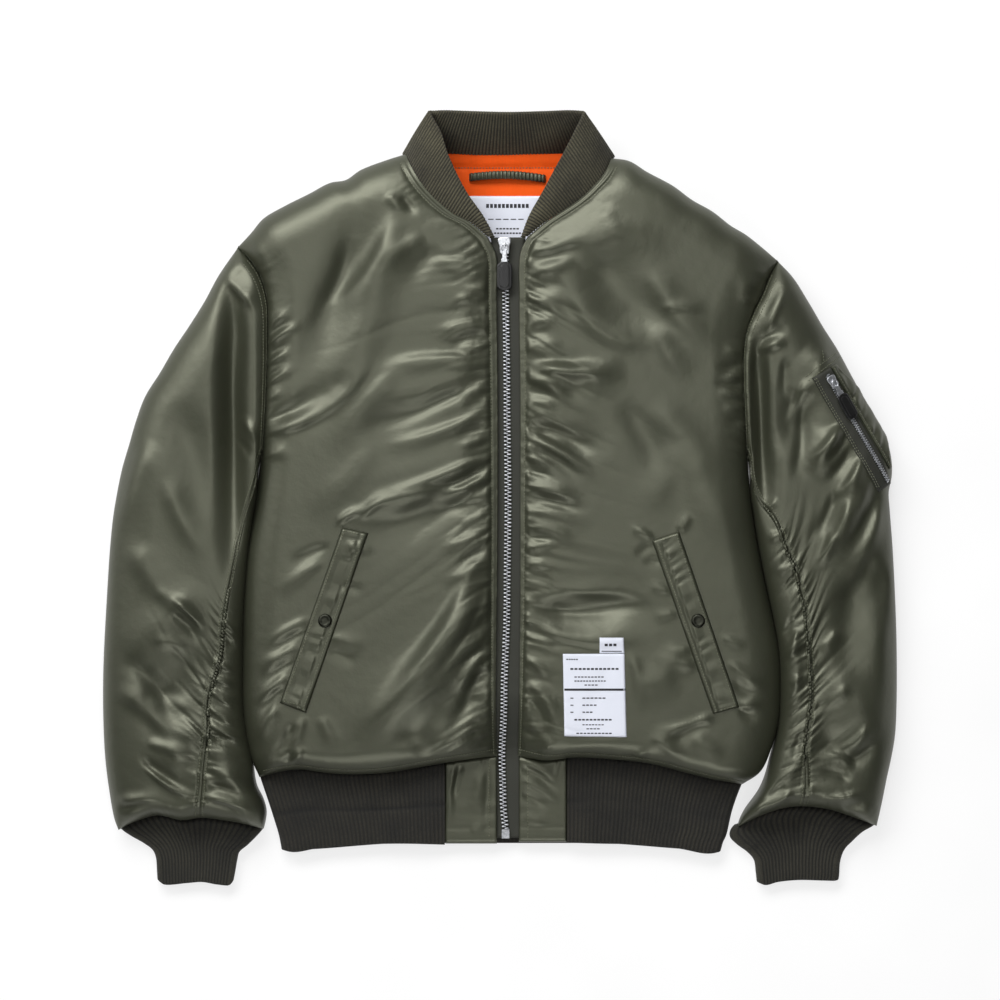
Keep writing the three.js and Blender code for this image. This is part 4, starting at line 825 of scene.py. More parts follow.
def front(side):
    surface = Front(side)
    under = np.array(UNDER, float)
    turned = 1 - under[::-1, 0] / FRONT_LENGTH  # rows that turn under at the shoulder
    v = np.concatenate([FRONT_LINES, turned])[:, None]
    ceiling = np.concatenate([np.full(len(FRONT_LINES), np.inf), under[::-1, 1]])[:, None]
    at_top = np.isfinite(ceiling)
    width = surface.width(v)
    up = np.where(at_top, 1, at_armhole(surface.side(v)[..., 1]))
    edge = lerp(under[:, 0], under[:, 2], up)
    middle = lerp(30, width - ZIP_INSETS[0], MIDDLE_COLUMNS)
    rolled = np.broadcast_to(SIDE_INSETS, (len(v), len(SIDE_INSETS)))
    insets = np.concatenate([edge, rolled, middle, width - ZIP_INSETS], axis=1)
    shoulder_inset = np.broadcast_to(np.where(at_top, 0, (1 - v) * FRONT_LENGTH), insets.shape)
    points = surface.point(insets / width, np.broadcast_to(v, insets.shape), shoulder_inset)
    turn = len(under)
    points[:, :turn, 2] = lerp(under[:, 1], points[:, :turn, 2], up)
    points[..., 2] = np.minimum(points[..., 2], ceiling)
    piece = cloth(f"{side}_front_cloth", points, cut_of(points), (150, 60), SHELL)
    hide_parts(f"front_{side}")
    return surface, piece


FRONTS = {side: front(side) for side in ("right", "left")}


def back():
    """One flat panel inside the edges that the fronts turn under; its underside rests on the floor."""
    def edge_inset(y):
        under = TURN_UNDER + SEAM_GAP + 4 * bump(y, 12, 22)
        return lerp(under, 0.5, smooth(36, 64, y))
    shoulder = 1 - (TURN_UNDER + SEAM_GAP) / FRONT_LENGTH
    rows = []
    for v in np.concatenate([[0.0], spread(0, shoulder, 0.01)]):
        halves = {}
        for side, (surface, _) in FRONTS.items():
            inset = float(edge_inset(surface.plan(0.0, v)[1])) / float(surface.width(v))
            halves[side] = surface.plan(np.linspace(inset, 1, 36), v)
        right, left = halves["right"], halves["left"][::-1]
        middle = lerp(right[-1], left[0], np.linspace(0, 1, 22)[1:-1, None])
        row = np.concatenate([right, middle, left])
        row[:, 1] = np.minimum(row[:, 1], np.where(np.abs(row[:, 0] - 8) < 96, BACK_NECK_Y, 400))
        rows.append(np.concatenate([row, np.zeros((len(row), 1))], axis=1))
    points = np.array(rows)
    points[0, :, 1] += 0.8
    bm = grid_mesh(points, cut_of(points), (20, 40))
    bmesh.ops.reverse_faces(bm, faces=bm.faces)
    piece = object_from("back_cloth", bm, SHELL)
    wall = piece.modifiers.new("wall", "SOLIDIFY")
    wall.thickness = SHELL_WALL * MM
    wall.offset = -1
    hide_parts("back")
    return piece


BACK = back()


# Sleeves

SLEEVE_LENGTH = (370, 640)  # along the edge beside the body, and along the outline
ARMPIT_Y = 42
LEANS_IN = {"right": 5.6, "left": 6.4}
ARMHOLE_ROLL = 30
CUFF_ROLL = 22
OUTLINE_ROLL = 45
INNER_ROLL = 25
SLEEVES = {
    "right": {
        "inner": [
            (-250, 0), (-255, -30), (-258.5, -60), (-262, -110), (-263, -160), (-262, -215),
            (-255, -255), (-246, -285), (-238, -301), (-235, -313), (-236, -323), (-238, -331)],
        "outline": [
            (-284, 224), (-297, 200), (-312, 176), (-328, 152), (-342, 128), (-357, 104), (-366, 80),
            (-373, 56), (-380, 32), (-385, 8), (-389, -16), (-392, -45), (-395, -90), (-399, -170),
            (-399, -220), (-397, -260), (-393, -292), (-388, -320), (-384, -332)],
        "cuff_seam": [
            (-238, -331), (-260, -325), (-285, -321), (-300, -319.5), (-320, -322), (-343, -317),
            (-360, -321), (-375, -327), (-384, -332)],
        "long_seam": [(0, 0.06), (0.3, 0.12), (0.55, 0.16), (0.75, 0.26), (1, 0.42)],
        "gathered_from": (0.40, 0.56),
        "folds": [
            (-264, 235, -264, -118, -3, 11, 13, -23, 0), (-330, 100, -290, -60, 14, 20, 24, -5, 0),
            (-345, 60, -390, -40, -6, 18, 24, 5, 0), (-300, -80, -380, -160, 8, 18, 22, 5, 0),
            (-300, -150, -375, -230, 8, 18, 22, -5, 0), (-297, -215, -345, -275, 6, 16, 18, 6, 0),
            (-285, -240, -252, -300, -4, 14, 14, 6, 0),
            # below the shoulder, in the hollow beside the body
            (-274, 226, -236, 190, -4, 4, 6, 4.5, 0.2), (-262, 232, -244, 206, 2, 4, 6, -3.2, 0),
            (-259, 82, -243, 56, 2, 4, 6, 4.0, 0), (-262, 60, -248, 40, 2, 3, 5, -3.0, 0),
            (-268, 180, -262, 60, 2, 7, 8, 3.0, 0),
            # the long outer panel
            (-332, 24, -285, -62, -7, 10, 14, 3.8, 0.2), (-366, -44, -324, -102, -4, 12, 16, 3.6, 0.2),
            (-326, -98, -292, -134, 3, 4, 5, 4.6, 0.35), (-328, -112, -296, -146, 3, 4, 5, -3.4, 0),
            (-346, -86, -300, -128, 3, 7, 9, 2.8, 0), (-374, -158, -318, -236, 9, 8, 12, -5.2, 0.2),
            (-382, -188, -316, -252, 7, 10, 13, 5.4, 0.3), (-352, -242, -306, -262, 4, 5, 7, 3.6, 0.2),
            (-358, -256, -304, -290, -4, 4, 5, -4.8, 0.3), (-354, -264, -300, -298, -4, 4, 5, 4.6, 0.35),
            (-384, -298, -336, -294, -3, 4, 6, 3.4, 0.2), (-386, -312, -340, -300, 2, 3, 5, -3.0, 0),
            (-345, -140, -300, -150, 2, 5, 8, 2.4, 0), (-352, -200, -300, -210, 2, 6, 9, 2.6, 0),
            # the narrow panel beside the body
            (-279, -120, -260, -136, 2, 3, 5, 4.0, 0.3), (-278, -132, -262, -150, 0, 3, 5, -3.6, 0),
            (-286, -160, -264, -170, 0, 3, 5, 3.0, 0.2), (-288, -176, -262, -186, 0, 3, 5, 3.2, 0.2),
            (-290, -192, -260, -206, 1, 3, 6, 3.6, 0.2), (-291, -208, -258, -228, 1, 3, 6, 4.0, 0.2),
            (-292, -222, -254, -246, 2, 3, 6, 4.4, 0.3), (-292, -236, -250, -252, 2, 3, 6, -3.4, 0),
            (-294, -296, -246, -312, 3, 4, 5, 4.8, 0.35), (-292, -284, -250, -300, 3, 4, 6, -3.8, 0),
            (-294, -266, -252, -284, 3, 4, 7, 2.8, 0)],
    },
    "left": {
        "inner": [
            (258, 0), (264.5, -40), (272, -80), (280, -118), (285.5, -150), (287, -190), (284.5, -230),
            (275, -266), (259, -294), (246, -312), (241, -322), (239, -329)],
        "outline": [
            (295, 223), (311, 198), (325, 174), (339, 152), (352, 128), (365, 104), (378, 80), (386, 66),
            (391, 54), (394, 38), (394, 24), (391, 8), (392, -10), (395, -50), (398, -112),
            (399, -150), (399, -200), (397.5, -235), (394, -257), (389, -280), (385, -300), (379, -328)],
        "cuff_seam": [
            (239, -329), (260, -318), (280, -311), (300, -308), (330, -311), (355, -319), (379, -328)],
        "long_seam": [(0, 0.05), (0.11, 0.08), (0.28, 0.19), (0.5, 0.24), (0.79, 0.27), (1, 0.46)],
        "gathered_from": (0.26, 0.36),
        "folds": [
            (254, 185, 262, -70, 4, 11, 10, -18, 0), (335, 75, 305, 20, 6, 14, 16, 8, 0),
            (358, 42, 318, -60, 10, 14, 18, 7, 0), (300, 110, 290, 40, -4, 16, 16, -7, 0),
            (300, 150, 345, 90, 6, 18, 22, 5, 0), (385, -60, 330, -130, 8, 18, 22, -6, 0),
            (320, -170, 385, -250, 8, 18, 22, 6, 0), (310, -230, 370, -290, 6, 16, 18, -6, 0),
            (290, -130, 288, -230, 0, 14, 14, 6, 0),
            # below the shoulder and beside the body
            (267, 152, 269, 22, 1, 4, 6, 4.6, 0.2), (256, 147, 288, 156, 2, 3, 6, 4.4, 0.3),
            (258, 158, 290, 170, 2, 3, 6, -3.2, 0), (266, 168, 288, 216, 2, 4, 7, 3.6, 0.2),
            (260, 180, 281, 224, 0, 4, 5, -4.0, 0), (284, 142, 283, 96, 0, 4, 6, -3.2, 0),
            (304, 124, 285, 72, 3, 5, 7, 4.2, 0.3), (302, 96, 292, 14, 3, 6, 8, -4.6, 0.2),
            (320, 140, 300, 100, 3, 6, 8, 3.2, 0.2), (330, 166, 318, 130, 2, 7, 8, 2.8, 0),
            # under and round the pocket
            (338, 78, 304, 38, 5, 5, 8, 5.6, 0.35), (346, 70, 316, 32, 4, 4, 6, -4.6, 0),
            (361, 48, 330, 0, 5, 5, 7, 6.0, 0.35), (350, 54, 322, 16, 3, 4, 6, -3.8, 0),
            (348, 6, 311, -68, 7, 7, 10, 6.2, 0.35), (334, 10, 306, -44, 5, 5, 7, -4.2, 0),
            (374, 22, 345, -46, 6, 6, 8, -4.6, 0.2), (381, 0, 348, -66, 6, 6, 9, 4.6, 0.3),
            (372, -50, 336, -106, 6, 7, 10, -3.4, 0), (330, -30, 312, -70, 3, 4, 6, 3.4, 0.2),
            # the long outer panel
            (352, -70, 350, -196, -5, 15, 20, -5.0, 0.2), (385, -110, 380, -220, -4, 12, 14, 2.4, 0),
            (336, -128, 314, -150, 3, 5, 7, 3.4, 0.3), (346, -182, 314, -206, 3, 5, 7, 2.8, 0.2),
            (367, -222, 328, -254, 6, 6, 9, 5.0, 0.35), (372, -240, 334, -266, 6, 5, 8, -3.8, 0),
            (354, -268, 314, -256, -7, 4, 7, 4.4, 0.35), (350, -280, 312, -272, -4, 4, 6, -3.6, 0),
            (362, -288, 314, -296, 4, 3, 5, 4.6, 0.35), (368, -302, 318, -306, 3, 3, 5, -3.0, 0),
            # the narrow panel beside the body
            (290, -288, 256, -313, 4, 4, 6, 4.4, 0.3), (284, -280, 250, -304, 3, 4, 6, -3.6, 0),
            (302, -250, 272, -284, 4, 4, 8, 3.8, 0.2), (300, -232, 286, -258, 2, 4, 6, -3.2, 0),
            (296, -128, 281, -160, 2, 4, 5, 4.4, 0.3), (290, -116, 279, -140, 2, 3, 5, -3.2, 0),
            (298, -172, 288, -186, 1, 3, 5, 2.8, 0), (296, -60, 272, -72, 2, 3, 6, 3.4, 0.2),
            (284, -30, 264, -40, 1, 3, 5, 3.0, 0), (276, 0, 262, -8, 1, 3, 5, 2.6, 0)],
    },
}


class Sleeve:
    """The upper surface of one sleeve: u runs from the edge beside the body to the outline, v from
    the armhole to the cuff."""

    def __init__(self, side):
        half, own = BODY[side], SLEEVES[side]
        armpit = share_at_y(half["side"], ARMPIT_Y)

        def armhole(u):
            t = lerp(armpit, 1, np.asarray(u, float))
            along = half["side"](np.minimum(1, t + 0.004)) - half["side"](t - 0.004)
            along = along / np.linalg.norm(along, axis=-1, keepdims=True)
            outward = np.stack([along[..., 1], -along[..., 0]], axis=-1) * -0.8 * half["out"]
            return half["side"](t) + outward
        self.inner = curve([armhole(0.0), *own["inner"]])
        self.outline = curve([armhole(1.0), *own["outline"]])
        still = patch(self.inner, self.outline, armhole, curve(own["cuff_seam"]))

        def plan(u, v):
            """The sleeve's cloth presses against the body, so its inner edge lies a little nearer."""
            p = still(u, v)
            u, v = np.broadcast_arrays(np.asarray(u, float), np.asarray(v, float))
            p[..., 0] -= half["out"] * LEANS_IN[side] * (1 - smooth(0, 0.3, u)) * smooth(0.02, 0.12, v) \
                * (1 - smooth(0.78, 0.9, v))
            return p
        self.plan = plan
        self.long_seam = own["long_seam"]
        self.gathered = own["gathered_from"]
        self.folds = fold_field(own["folds"])
        self.seed = 70 if side == "right" else 90

    def width(self, v):
        return np.linalg.norm(self.inner(v) - self.outline(v), axis=-1)

    def seam(self, v):
        return between(self.long_seam, v)

    def point(self, u, v):
        u, v = np.broadcast_arrays(np.asarray(u, float), np.asarray(v, float))
        p = self.plan(u, v)
        x, y = p[..., 0], p[..., 1]
        width = self.width(v)
        length = lerp(*SLEEVE_LENGTH, u)
        arm_inset, cuff_inset = v * length, (1 - v) * length
        inner_inset, outer_inset = u * width, (1 - u) * width
        held = (roll(outer_inset, OUTLINE_ROLL) * roll(inner_inset, INNER_ROLL)
                * roll(arm_inset, ARMHOLE_ROLL) * roll(cuff_inset, CUFF_ROLL))
        base = lerp(armhole_height(y), SEAM_HEIGHT, smooth(0, 50, arm_inset))
        free = smooth(0, 24, arm_inset) * smooth(0, 20, cuff_inset) * smooth(0, 20, outer_inset)
        from_seam = (u - self.seam(v)) * width
        along_seam = v * 505
        gathered = smooth(*self.gathered, v)
        gathers = puckers(self.seed, along_seam, np.abs(from_seam) - 2.5, 6.4, 13, 1.9, 0.25)
        wide = puckers(self.seed + 4, along_seam, np.abs(from_seam) - 2.5, 13, 30, 2.0, 0.45)
        rungs = np.cos(2 * math.pi * along_seam / 4.6 + 1.6 * noise(self.seed + 8)(along_seam / 9))
        sewn = (1.0 * bump(from_seam, 0, 6.0) + 0.75 * rungs * bump(from_seam, 0, 4.4)
                - 0.7 * bump(np.abs(from_seam), 3.6, 0.9) - 0.3 * bump(from_seam, 0, 0.8))
        relief = free * (self.folds(x, y) + gathered * (gathers + wide)) + (0.35 + 0.65 * gathered) * sewn
        edge = puckers(self.seed + 11, lerp(0, 230, u), arm_inset, 6, 12, 0.9) * smooth(0, 8, outer_inset)
        cuff = puckers(self.seed + 14, x, cuff_inset, 7, 16, 1.5, 0.2) * smooth(0, 10, outer_inset)
        base = base - 1.2 * (1 - smooth(0.2, 2.2, arm_inset))  # it runs under the front's edge
        seam_held = np.minimum(1, 0.3 + held)
        z = base + (SLEEVE_CROWN - base) * held + seam_held * relief * np.minimum(1, 4 * held + 0.1)
        z = z + (edge + cuff) * np.minimum(1, 4 * held + 0.15)
        return np.concatenate([p, z[..., None]], axis=-1)

    def normal(self, u, v, h=2e-3):
        across = self.point(np.minimum(1, u + h), v) - self.point(u - h, v)
        along = self.point(u, np.minimum(1, v + h)) - self.point(u, np.maximum(0, v - h))
        n = np.cross(across, along)
        n = n / np.linalg.norm(n, axis=-1, keepdims=True)
        return np.where(n[..., 2:] < 0, -n, n)


SLEEVE_LINES = np.concatenate([
    [0], eased(20, 9) / 505, spread(20 / 505, 1 - 14 / 505, 2.1 / 505), 1 - eased(14, 8)[::-1][1:] / 505,
    [1]])
OUTER_COLUMNS = np.linspace(0, 1, 46)
UNDER_COLUMNS = np.linspace(0, 1, 26)
FLOOR_COLUMNS = np.linspace(0, 1, 18)[1:]


def sleeve(side):
    surface = Sleeve(side)
    v = SLEEVE_LINES[:, None]
    width = surface.width(v)
    seam = surface.seam(v)
    lap = 0.7 / width  # the outer panel laps over the under one at the long seam
    upper = lerp(seam - lap, 1 - 34 / width, OUTER_COLUMNS)
    rolled = 1 - eased(34, 12)[::-1][1:] / width
    u = np.concatenate([upper, rolled], axis=1)
    points = surface.point(u, np.broadcast_to(v, u.shape))
    under = np.array(UNDER, float)[::-1]
    turned = surface.plan(1 - under[:, 0] / width, np.broadcast_to(v, (len(v), len(under))))
    turned = np.concatenate([turned, np.broadcast_to(under[:, 1:2], turned.shape[:2] + (1,))], axis=-1)
    points = np.concatenate([points, turned], axis=1)
    outer = cloth(f"{side}_outer_sleeve_cloth", points, cut_of(points), (100, 20), SHELL)
    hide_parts(f"sleeve_{side}_outer")

    u = np.concatenate([lerp(seam, 5 / width, UNDER_COLUMNS), np.array([3.4, 2.2, 1.2]) / width], axis=1)
    u = np.insert(u, 1, (seam - 1.6 / width)[:, 0], axis=1)
    top = surface.point(u, np.broadcast_to(v, u.shape))
    top[:, 0, 2] -= 1.1
    edge = np.array([(0, 9), (0.6, 5), (1.5, 3), (3, 1), (6, 0)], float)
    side_plan = surface.plan(edge[:, 0] / width, np.broadcast_to(v, (len(v), len(edge))))
    side_wall = np.concatenate(
        [side_plan, np.broadcast_to(edge[:, 1:2], side_plan.shape[:2] + (1,))], axis=-1)
    floor_u = lerp(6 / width, 1 - (TURN_UNDER + SEAM_GAP) / width, FLOOR_COLUMNS)
    floor_plan = surface.plan(floor_u, np.broadcast_to(v, floor_u.shape))
    floor = np.concatenate([floor_plan, np.zeros(floor_plan.shape[:2] + (1,))], axis=-1)
    points = np.concatenate([top, side_wall, floor], axis=1)
    under_piece = cloth(f"{side}_under_sleeve_cloth", points, cut_of(points), (150, 10), SHELL)
    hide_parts(f"sleeve_{side}_under")
    return surface, outer, under_piece


ARMS = {side: sleeve(side) for side in ("right", "left")}


# Rib knit: cuffs, hem band and collar

def both_faces(painted_shade):
    """A value of each point of a folded strip, on its outer and its inner face."""
    return np.concatenate([painted_shade, painted_shade[::-1]], axis=0)


def rib(along, pitch, width=0.5):
    """Height of the ribs, 0 to 1, at a distance along the strip: round ribs and narrow valleys."""
    wave = 0.5 + 0.5 * np.cos(2 * math.pi * along / pitch)
    return wave ** width


def round_edge(radius, count):
    """Insets and height shares round a flattened edge, from its top to its underside."""
    angle = np.linspace(math.pi / 2, -math.pi / 2, count)
    return radius * (1 - np.cos(angle)), 0.5 + 0.5 * np.sin(angle)


CUFF_LAP = 2.4  # how far the sleeve laps over its cuff
CUFF_DROP = 3.8
CUFFS = {
    "right": {
        "left": [(-344.5, -384), (-345, -375), (-346, -362), (-349, -355), (-357, -349),
                 (-372, -341.5), (-383.5, -334.8)],
        "right": [(-270, -385), (-268, -375), (-266, -364), (-264, -357), (-255, -350), (-244, -340),
                  (-238.5, -333.8)],
        "end": [(-344.5, -384), (-338, -387.5), (-315, -386), (-300, -385), (-285, -387.5),
                (-272, -388), (-270, -385)],
    },
    "left": {
        "left": [(260, -386), (259, -376), (257, -364), (250, -356.5), (240, -350), (233, -343),
                 (234, -337), (239.5, -331.8)],
        "right": [(340, -384), (341, -380), (342, -366), (346, -355), (355, -346), (365, -338),
                  (376, -333), (378, -331.6)],
        "end": [(260, -386), (268, -388), (280, -385), (300, -383), (325, -383.5), (340, -384)],
    },
}


def cuff(side):
    own = CUFFS[side]
    seam_points = [(x, y + CUFF_LAP) for x, y in SLEEVES[side]["cuff_seam"]]
    if side == "right":
        seam_points.reverse()
    plan = patch(curve(own["left"]), curve(own["right"]), curve(own["end"]), curve(seam_points))
    v = np.concatenate([[0], eased(1.7, 4) / 55, spread(1.7 / 55, 1 - 1.7 / 55, 1.6 / 55),
                        1 - eased(1.7, 4)[::-1][1:] / 55, [1]])[:, None]
    width = np.linalg.norm(plan(0.0, v) - plan(1.0, v), axis=-1)
    ribs = round(75 / CUFF_RIB_PITCH)
    inset, share = round_edge(5.5, 13)
    top = lerp(5.5 / width, 1 - 5.5 / width, np.linspace(0, 1, ribs * 6 + 1))
    right = 1 - inset[1:] / width
    under = lerp(1 - 5.5 / width, 5.5 / width, np.linspace(0, 1, ribs * 4 + 1)[1:])
    left = inset[::-1][1:] / width
    u = np.concatenate([top, right, under, left], axis=1)
    high = np.concatenate([np.ones(top.shape[1]), share[1:], np.zeros(under.shape[1]),
                           share[::-1][1:]])
    v_all = np.broadcast_to(v, u.shape)
    gathered = smooth(0.5, 0.62, v)
    height = (lerp(CUFF_HEIGHT, SEAM_HEIGHT, smooth(0.6, 0.9, v)) - 1.1 * (1 - smooth(0.44, 0.53, v))
              - CUFF_DROP * smooth(0.89, 0.965, v))
    seed = 120 if side == "right" else 130
    waves = noise(seed)(u * 17 + 0.6 * v) * 1.1 * gathered * smooth(0, 0.2, 1 - v)
    z = np.minimum(height + waves - 1.0 * bump(v, 0.5, 0.03), 13.2) * high
    points = np.concatenate([plan(u, v_all), z[..., None]], axis=-1)
    normal = normals_of(points)
    normal *= np.sign(normal[8, 30, 2])
    join = normal[:, 0] + normal[:, -1]  # the ring's first and last columns are one
    normal[:, 0] = normal[:, -1] = join / np.linalg.norm(join, axis=-1, keepdims=True)
    raised = rib(np.clip((u - 5.5 / width) / (1 - 11 / width), 0, 1) * ribs, 1.0)
    relief = RIB_RELIEF * (raised - (high < 0.5)) * 0.9
    ring = doubled(points, normal, RIB_WALL, (1 - v_all) * 55, v_all * 55, relief)
    # Painted shade on the knit's colour, darkest between its ribs.
    piece = cloth(f"{side}_cuff_knit", ring, cut_of(ring), (10, 30), KNIT, thick=0, closed=True,
                  painted_shade=both_faces(1 - raised))
    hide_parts(f"cuff_{side}")
    return piece


CUFF_PIECES = {side: cuff(side) for side in ("right", "left")}

FACING_EDGES = {"right": -55.6, "left": 67.6}
HEM_BAND = {
    "right": {
        "side": [(-219, -353), (-222, -338), (-228, -320), (-235, -300), (-242, -280.5)],
        "end": [(-55.6, -347), (-100, -346), (-140, -347), (-180, -350), (-206, -354.5), (-219, -353)],
    },
    "left": {
        "side": [(221, -355), (224, -345), (227, -339), (233, -315), (240, -296), (244, -287.5)],
        "end": [(67.6, -345), (100, -346), (140, -347), (180, -351), (207, -356), (221, -355)],
    },
}
SEAM_LINE = HEM_SEAM(np.linspace(0, 1, 801))
SEAM_LAP = 2.2  # the fronts and sleeves lap over the band, the facings and the cuffs
LAP_DROP = 3.6


def below_seam(x):
    """Plan points at some X of the upper edge of what is sewn under the fronts' hem."""
    x = np.asarray(x, float)
    y = np.interp(x, SEAM_LINE[:, 0], SEAM_LINE[:, 1]) + SEAM_LAP
    return np.stack([x, y], axis=-1)


def hem_band():
    v = np.concatenate([[0], eased(1.7, 4) / 80, spread(1.7 / 80, 1 - 1.7 / 80, 3.4 / 80),
                        1 - eased(1.7, 4)[::-1][1:] / 80, [1]])[:, None]
    height = HEM_RIB_HEIGHT - LAP_DROP * smooth(0.92, 0.975, v)
    inset, share = round_edge(6.5, 15)
    halves = {}
    for side, own in HEM_BAND.items():
        start, end_x = FACING_EDGES[side], own["side"][-1][0]
        facing = curve([(start, own["end"][0][1]), tuple(below_seam(start))])
        plan = patch(facing, curve(own["side"]), curve(own["end"]),
                     lambda u, a=start, b=end_x: below_seam(lerp(a, b, u)))
        width = np.linalg.norm(plan(0.0, v) - plan(1.0, v), axis=-1)
        count = round(float(width.mean()) / HEM_RIB_PITCH) * 5
        flat_u = lerp(0, 1 - 6.5 / width, np.linspace(0, 1, count + 1))
        fold_u = 1 - inset[1:] / width
        u = np.concatenate([flat_u, fold_u], axis=1)
        high = np.concatenate([np.ones(flat_u.shape[1]), share[1:]])
        p = plan(u, np.broadcast_to(v, u.shape))
        halves[side] = np.concatenate([p, (high * height)[..., None]], axis=-1)
    right, left = halves["right"], halves["left"][:, ::-1]
    count = round(440 / HEM_RIB_PITCH) * 3
    x = lerp(right[:, -1:, 0], left[:, :1, 0], np.linspace(0, 1, count + 1)[1:-1])
    bottom = -346.5 - 7 * smooth(90, 215, np.abs(x))
    y = lerp(bottom, below_seam(x)[..., 1], v)
    points = np.concatenate([right, np.stack([x, y, np.zeros_like(x)], axis=-1), left], axis=1)
    normal = normals_of(points)
    normal *= np.sign(normal[5, 40, 2])
    on_top = points[..., 2] / height
    along = np.mean(lengths(points, 1), axis=0)
    v_all = np.broadcast_to(v, on_top.shape)
    waver = 0.5 * noise(154)(along / 13 + 2.4 * v_all)  # no rib runs quite straight
    fold_line = bump(v_all * 80, 39 + 1.5 * noise(152)(along / 60), 1.5) * smooth(0.6, 1, on_top)
    pressed = 2.2 * fold_line
    slack = 1.2 * noise(150)(along / 26 + v_all * 1.3) * smooth(0.8, 1, on_top)
    gathers = 0.8 * noise(151)(along / 8) * smooth(0.7, 1, v_all) * smooth(0.8, 1, on_top)
    relief = RIB_RELIEF * (rib(along + waver, HEM_RIB_PITCH) - (on_top < 0.5)) - pressed + slack + gathers
    ring = doubled(points, normal, RIB_WALL, (1 - v_all) * 80, v_all * 80, relief)
    # Painted shade on the knit's colour, darkest between its ribs and along the pressed fold.
    painted_shade = both_faces(np.maximum(1 - rib(along + waver, HEM_RIB_PITCH), fold_line))
    piece = cloth("hem_band_knit", ring, cut_of(ring), (8, 40), HEM_KNIT_PAINTED_SHADE, thick=0, closed=True,
                  painted_shade=painted_shade)
    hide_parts("hem_rib")
    return piece


HEM = hem_band()

COLLAR_RIM = {
    "right": [(-5.5, 262.5, 36), (-17, 284, 40), (-32, 305, 44), (-43, 325, 47), (-52, 345, 49),
              (-59, 366, 50), (-70, 385, 47)],
    "left": [(21, 262.5, 36), (29, 284, 40), (41, 305, 44), (52, 325, 47), (63, 345, 49),
             (74, 366, 50), (83, 384, 47)],
}
COLLAR_BACK = [  # seam x, y, z, then rim x, y, z
    (-97, 350, 8.5, -70, 387.5, 45), (-91, 352, 3.5, -66, 388, 43), (-78, 350, 1.6, -56, 388.5, 43),
    (-40, 348.5, 1.4, -28, 387.5, 44), (8, 348, 1.4, 8, 386.5, 45), (58, 348.5, 1.4, 44, 387.5, 44),
    (94, 350, 1.6, 68, 388.5, 43), (107, 350.5, 3.5, 79, 388, 43), (114, 348, 8.5, 83, 387, 45),
]


def collar():
    seams = {}
    for side, (surface, _) in FRONTS.items():
        v = np.maximum(NECK_SHARE, spread(NECK_SHARE - 0.03, 1 - 2.5 / FRONT_LENGTH, 0.0323))
        p = surface.point(1.0, v)
        ahead = surface.inner(np.minimum(1, v + 0.01)) - surface.inner(v - 0.01)
        ahead = ahead / np.linalg.norm(ahead, axis=-1, keepdims=True)
        p[:, :2] += np.stack([ahead[:, 1], -ahead[:, 0]], axis=-1) * 0.9 * -surface.out
        seams[side] = p
    back_rows = np.array(COLLAR_BACK, float)
    seam_points = np.vstack([seams["right"], back_rows[:, :3], seams["left"][::-1]])
    rim_points = np.vstack([COLLAR_RIM["right"], back_rows[:, 3:], COLLAR_RIM["left"][::-1]])
    seam, rim = station_curve(seam_points), station_curve(rim_points)
    ruler = lerp(seam(np.linspace(0, 1, 2001)), rim(np.linspace(0, 1, 2001)), 0.5)
    run = lengths(ruler, 0)
    ribs = round(float(run[-1]) / COLLAR_RIB_PITCH)
    t = np.interp(np.linspace(0, 1, ribs * 4 + 1), run / run[-1], np.linspace(0, 1, 2001))
    depth = 62.0
    share = np.concatenate([[0], eased(1.7, 4) / depth, spread(1.7 / depth, 1 - 1.7 / depth, 2.6 / depth),
                            1 - eased(1.7, 4)[::-1][1:] / depth, [1]])[:, None]
    allowance = 1 + 3.2 / depth * smooth(0.9, 1, share)  # the seam allowance, under the fronts' edges
    points = lerp(rim(t)[None], seam(t)[None], (share * allowance)[..., None])
    share = np.broadcast_to(share, points.shape[:2])
    points[..., 2] += 3 * np.sin(math.pi * share) - 1.5 * smooth(0.94, 1, share)
    along = np.broadcast_to(np.linspace(0, ribs, len(t)), share.shape)
    normal = normals_of(points)
    normal *= np.sign(normal[6, 60, 2])
    slack = 0.9 * noise(160)(along / 14 + share * 1.5) * np.sin(math.pi * share)
    relief = RIB_RELIEF * 0.85 * rib(along, 1.0) + slack
    ring = doubled(points, normal, RIB_WALL, (1 - share) * depth, share * depth, relief)
    ribs_inside = (RIB_RELIEF * 0.7 * rib(along, 1.0) * roll(share * depth, 4)
                   * roll((1 - share) * depth, 4))[..., None]
    ring[len(points):] -= (normal * ribs_inside)[::-1]
    ring[..., 2] = np.maximum(ring[..., 2], 0.2)  # its back lies on the floor
    # Painted shade on the knit's colour, darkest between its ribs.
    piece = cloth("collar_knit", ring, cut_of(ring), (6, 60), COLLAR_KNIT_PAINTED_LIGHT, thick=0, closed=True,
                  painted_shade=both_faces(1 - rib(along, 1.0)))
    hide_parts("collar")
    return piece


COLLAR = collar()


# Pieces laid on the panels

def laid(name, plan, skins, lift, material, relief=None, thick=1.0, edge=1.2, body=JACKET):
    """A flat strip of cloth laid on other pieces: a plan grid (rows, columns, 2) lifted off them,
    with its border eased down."""
    high, normal = heights(skins, plan[..., 0], plan[..., 1])
    cut = cut_of(np.concatenate([plan, high[..., None]], axis=-1))
    inset = np.minimum(np.minimum(cut[..., 0], cut[:, -1:, 0] - cut[..., 0]),
                       np.minimum(cut[..., 1], cut[-1:, :, 1] - cut[..., 1]))
    rise = lift + thick * roll(inset, edge)
    if relief is not None:
        rise = rise + relief(cut[..., 0], cut[..., 1]) * smooth(0, 2 * edge, inset)
    points = np.concatenate([plan, high[..., None]], axis=-1) + normal * rise[..., None]
    rows, columns = points.shape[:2]
    bm = grid_mesh(points, cut, (rows // 2, columns // 2))
    piece = object_from(name, bm, material, body)
    wall = piece.modifiers.new("wall", "SOLIDIFY")
    wall.thickness = thick * MM
    wall.offset = -1
    return piece


